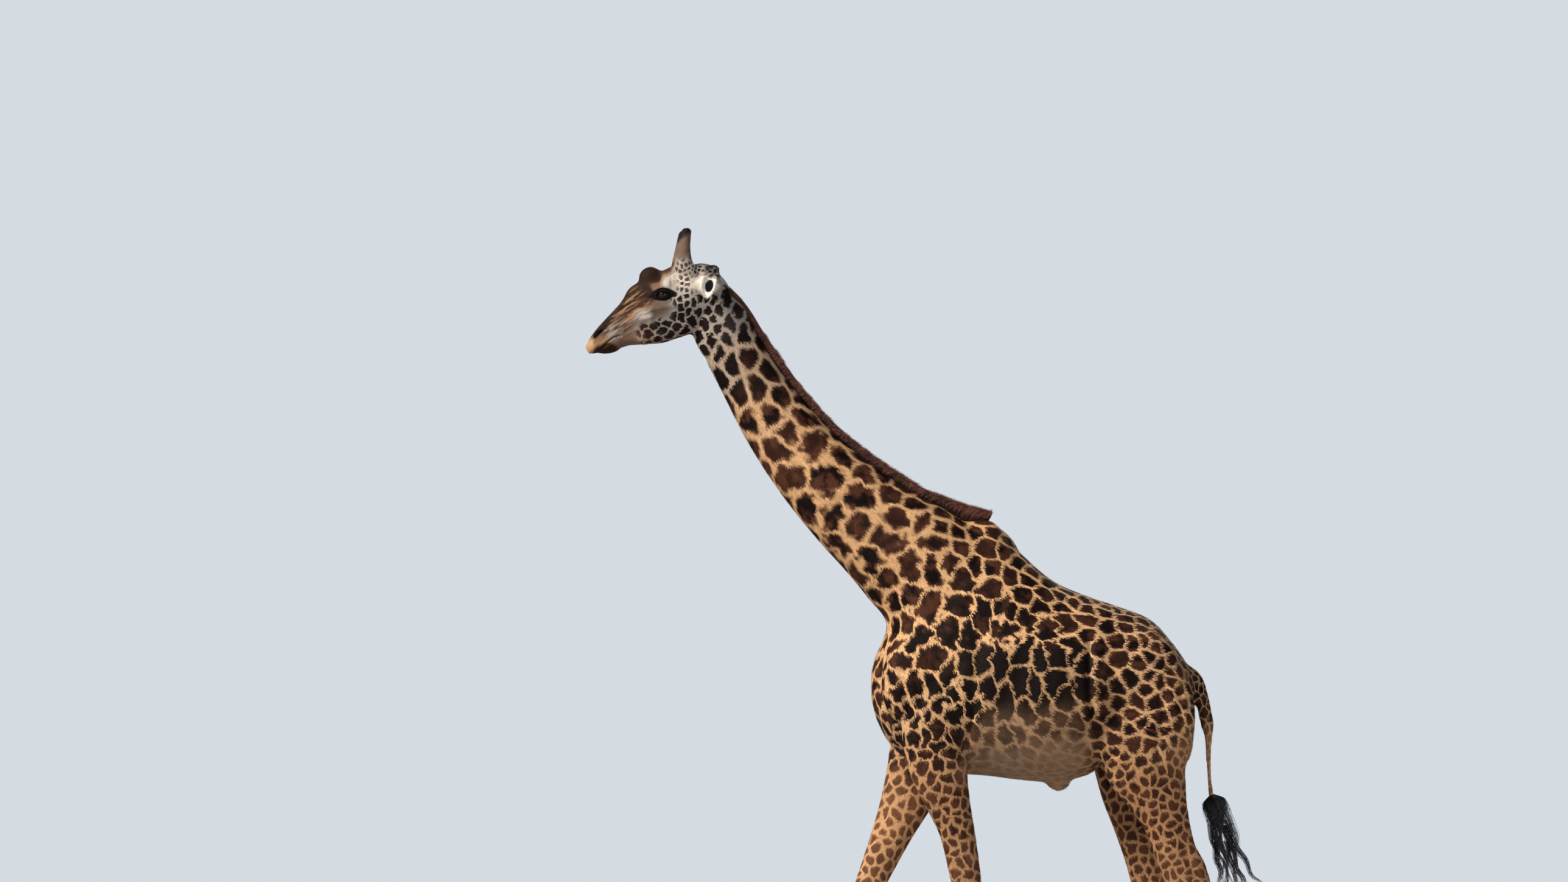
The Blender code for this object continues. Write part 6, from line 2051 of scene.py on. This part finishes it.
def coatMaterial(name, groups, onSkin):
    patchEdge, coatColour, hairBump = groups
    material, wires, shader = newMaterial(name, 0.6, 0.06)
    zoneEdge, zoneTone, accent, hairPlace = (wires.attribute(key) for key in coatFields)
    if onSkin:
        tones = wires.attribute("seedTones")
        seeds = {f"seed{letter}": wires.attribute(f"seed{letter}")["Vector"] for letter in "ABCD"}
        found = useGroup(
            wires, patchEdge, place=wires.attribute("markPlace")["Vector"],
            stretch=wires.attribute("stretch")["Vector"], tones=tones["Color"], lastTone=tones["Alpha"],
            rag=wires.parts(zoneEdge["Vector"])[2], **seeds,
        )
        # the skin between the tufts gets a fixed rise, a little darker than the tufts' tips: painted shade
        edge, tone, chance, rise = found["Edge"], found["Tone"], 0.5, 0.85
    else:
        edge, tone, chance = wires.parts(wires.attribute("edgeTone")["Vector"])
        rise = wires.attribute("rise")["Fac"]
    look = useGroup(
        wires, coatColour, edge=edge, tone=tone, chance=chance, rise=rise, zoneEdge=zoneEdge["Vector"],
        zoneTone=zoneTone["Color"], fade=zoneTone["Alpha"], accent=accent["Color"], leg=accent["Alpha"],
        hairPlace=hairPlace["Vector"],
    )
    height = useGroup(wires, hairBump, hairPlace=hairPlace["Vector"])["Height"]
    raised = wires.put("ShaderNodeBump", named={"Strength": 0.34, "Distance": 0.001, "Height": height})
    roughness = wires.smooth(look["Dark"], 0.0, 1.0, 0.7, 0.62)
    wires.join({"Base Color": look["Color"], "Normal": raised.outputs[0], "Roughness": roughness}, shader.inputs)
    return material


def hairMaterial(name, group, colours, roughness):
    material, wires, shader = newMaterial(name, roughness, 0.35)
    look = useGroup(
        wires, group, root=(*colours[0], 1.0), tip=(*colours[1], 1.0), rise=wires.attribute("rise")["Fac"],
        chance=wires.attribute("chance")["Fac"], lockPlace=wires.attribute("lockPlace")["Vector"],
    )
    wires.join({"Base Color": look["Color"]}, shader.inputs)
    return material


def makeMaterials():
    groups = (patchEdgeGroup(), coatColourGroup(), hairBumpGroup())
    made = {name: coatMaterial(name + "Material", groups, name == "skin") for name in ("skin", "coat")}
    longHair = longHairGroup()
    for name, roughness in (("mane", 0.55), ("tailHair", 0.42), ("earHair", 0.6), ("lash", 0.7)):
        made[name] = hairMaterial(name + "Material", longHair, hairColours[name], roughness)
    made["eye"], wires, shader = newMaterial("eyeMaterial", 0.06, 0.1)
    look = useGroup(wires, irisGroup(), gaze=wires.attribute("gaze")["Vector"])
    wires.join({"Base Color": look["Color"]}, shader.inputs)
    shader.inputs["Coat Weight"].default_value = 0.4
    shader.inputs["Coat Roughness"].default_value = 0.02
    made["hoof"], wires, shader = newMaterial("hoofMaterial", 0.5)
    look = useGroup(wires, hornGroup(), place=wires.attribute("hornPlace")["Vector"])
    raised = wires.put("ShaderNodeBump", named={"Strength": 0.5, "Distance": 0.0012, "Height": look["Height"]})
    joined = {"Base Color": look["Color"], "Roughness": look["Roughness"], "Normal": raised.outputs[0]}
    wires.join(joined, shader.inputs)
    return made


materials = makeMaterials()
mapSkin(skinMesh, skinFields)
addCoat(skinMesh, skinFields, materials)
makeFringes(materials)
fleshNodes = ["trunk", "neck_lower", "neck_upper", "head", "tail"]
for part in ("foreleg", "hindleg", "ear", "ossicone"):
    fleshNodes += [part + "_left", part + "_right"]
makeMane(skinMesh, materials)
addPiece("skin", skinMesh, materials["skin"], fleshNodes)
makeTailTuft(materials)
makeEyes(materials)
makeHooves(materials)
print("pieces made")


# floor, light and camera
cameraView = {"x": -0.686, "height": 0.9, "middle": 3.4215, "distance": 28.0, "width": 7.728}
stageColours = {"floor": (0.5, 0.49, 0.475), "world": (0.9, 0.9, 0.9), "backdrop": (0.66, 0.71, 0.76)}
lightSettings = {  # place, width, watts and colour
    "key": ((-13.0, -10.0, 13.5), 6.5, 6900.0, (1.0, 0.95, 0.86)),
    "fill": ((9.0, -14.0, 4.0), 8.0, 420.0, (0.86, 0.92, 1.0)),
    "rear": ((4.0, 11.0, 9.0), 8.0, 700.0, (1.0, 0.92, 0.82)),
    "worldStrength": 0.4,
}


def makeStage():
    mesh = builtMesh("floor", lambda shape: bmesh.ops.create_grid(shape, x_segments=60, y_segments=60, size=30))
    floor = bpy.data.objects.new("floor", mesh)
    bpy.context.collection.objects.link(floor)
    material, wires, shader = newMaterial("floorMaterial", 0.8, 0.2)
    grain = wires.noise(wires.put("ShaderNodeNewGeometry").outputs["Position"], 1.2, 4.0, 0.6)
    pale = stageColours["floor"]
    colour = wires.mix(grain, tuple(0.97 * c for c in pale), tuple(1.03 * c for c in pale))
    wires.join({"Base Color": colour}, shader.inputs)
    mesh.materials.append(material)
    world = bpy.data.worlds.new("studio")
    world.use_nodes = True
    background = world.node_tree.nodes["Background"]
    background.inputs["Color"].default_value = (*stageColours["world"], 1.0)
    background.inputs["Strength"].default_value = lightSettings["worldStrength"]
    wires = Wiring(world.node_tree)
    plain = wires.put("ShaderNodeBackground", (*stageColours["backdrop"], 1.0), 1.0).outputs[0]
    seen = wires.put("ShaderNodeLightPath").outputs["Is Camera Ray"]
    both = wires.put("ShaderNodeMixShader", seen, background.outputs[0], plain).outputs[0]
    world.node_tree.links.new(both, world.node_tree.nodes["World Output"].inputs["Surface"])
    bpy.context.scene.world = world
    target = Vector((-0.3, 0.0, 2.5))
    for name in ("key", "fill", "rear"):
        place, size, watts, colour = lightSettings[name]
        lamp = bpy.data.lights.new(name, "AREA")
        lamp.shape, lamp.size, lamp.energy, lamp.color = "DISK", size, watts, colour
        light = bpy.data.objects.new(name, lamp)
        light.location = place
        light.rotation_euler = (target - Vector(place)).to_track_quat("-Z", "Y").to_euler()
        bpy.context.collection.objects.link(light)


def makeCamera():
    rise = cameraView["middle"] - cameraView["height"]
    data = bpy.data.cameras.new("camera")
    camera = bpy.data.objects.new("camera", data)
    camera.location = (cameraView["x"], -cameraView["distance"], cameraView["height"])
    camera.rotation_euler = (math.pi / 2 + math.atan2(rise, cameraView["distance"]), 0.0, 0.0)
    data.sensor_width = 36.0
    data.lens = 36.0 * math.hypot(cameraView["distance"], rise) / cameraView["width"]
    bpy.context.collection.objects.link(camera)
    bpy.context.scene.camera = camera


makeStage()
makeCamera()
bpy.context.scene.view_settings.view_transform = "Standard"
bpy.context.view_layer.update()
shown = [piece.data for piece in bpy.data.objects if piece.type == "MESH" and not piece.hide_render]
print("triangles", sum(len(face.vertices) - 2 for mesh in shown for face in mesh.polygons))
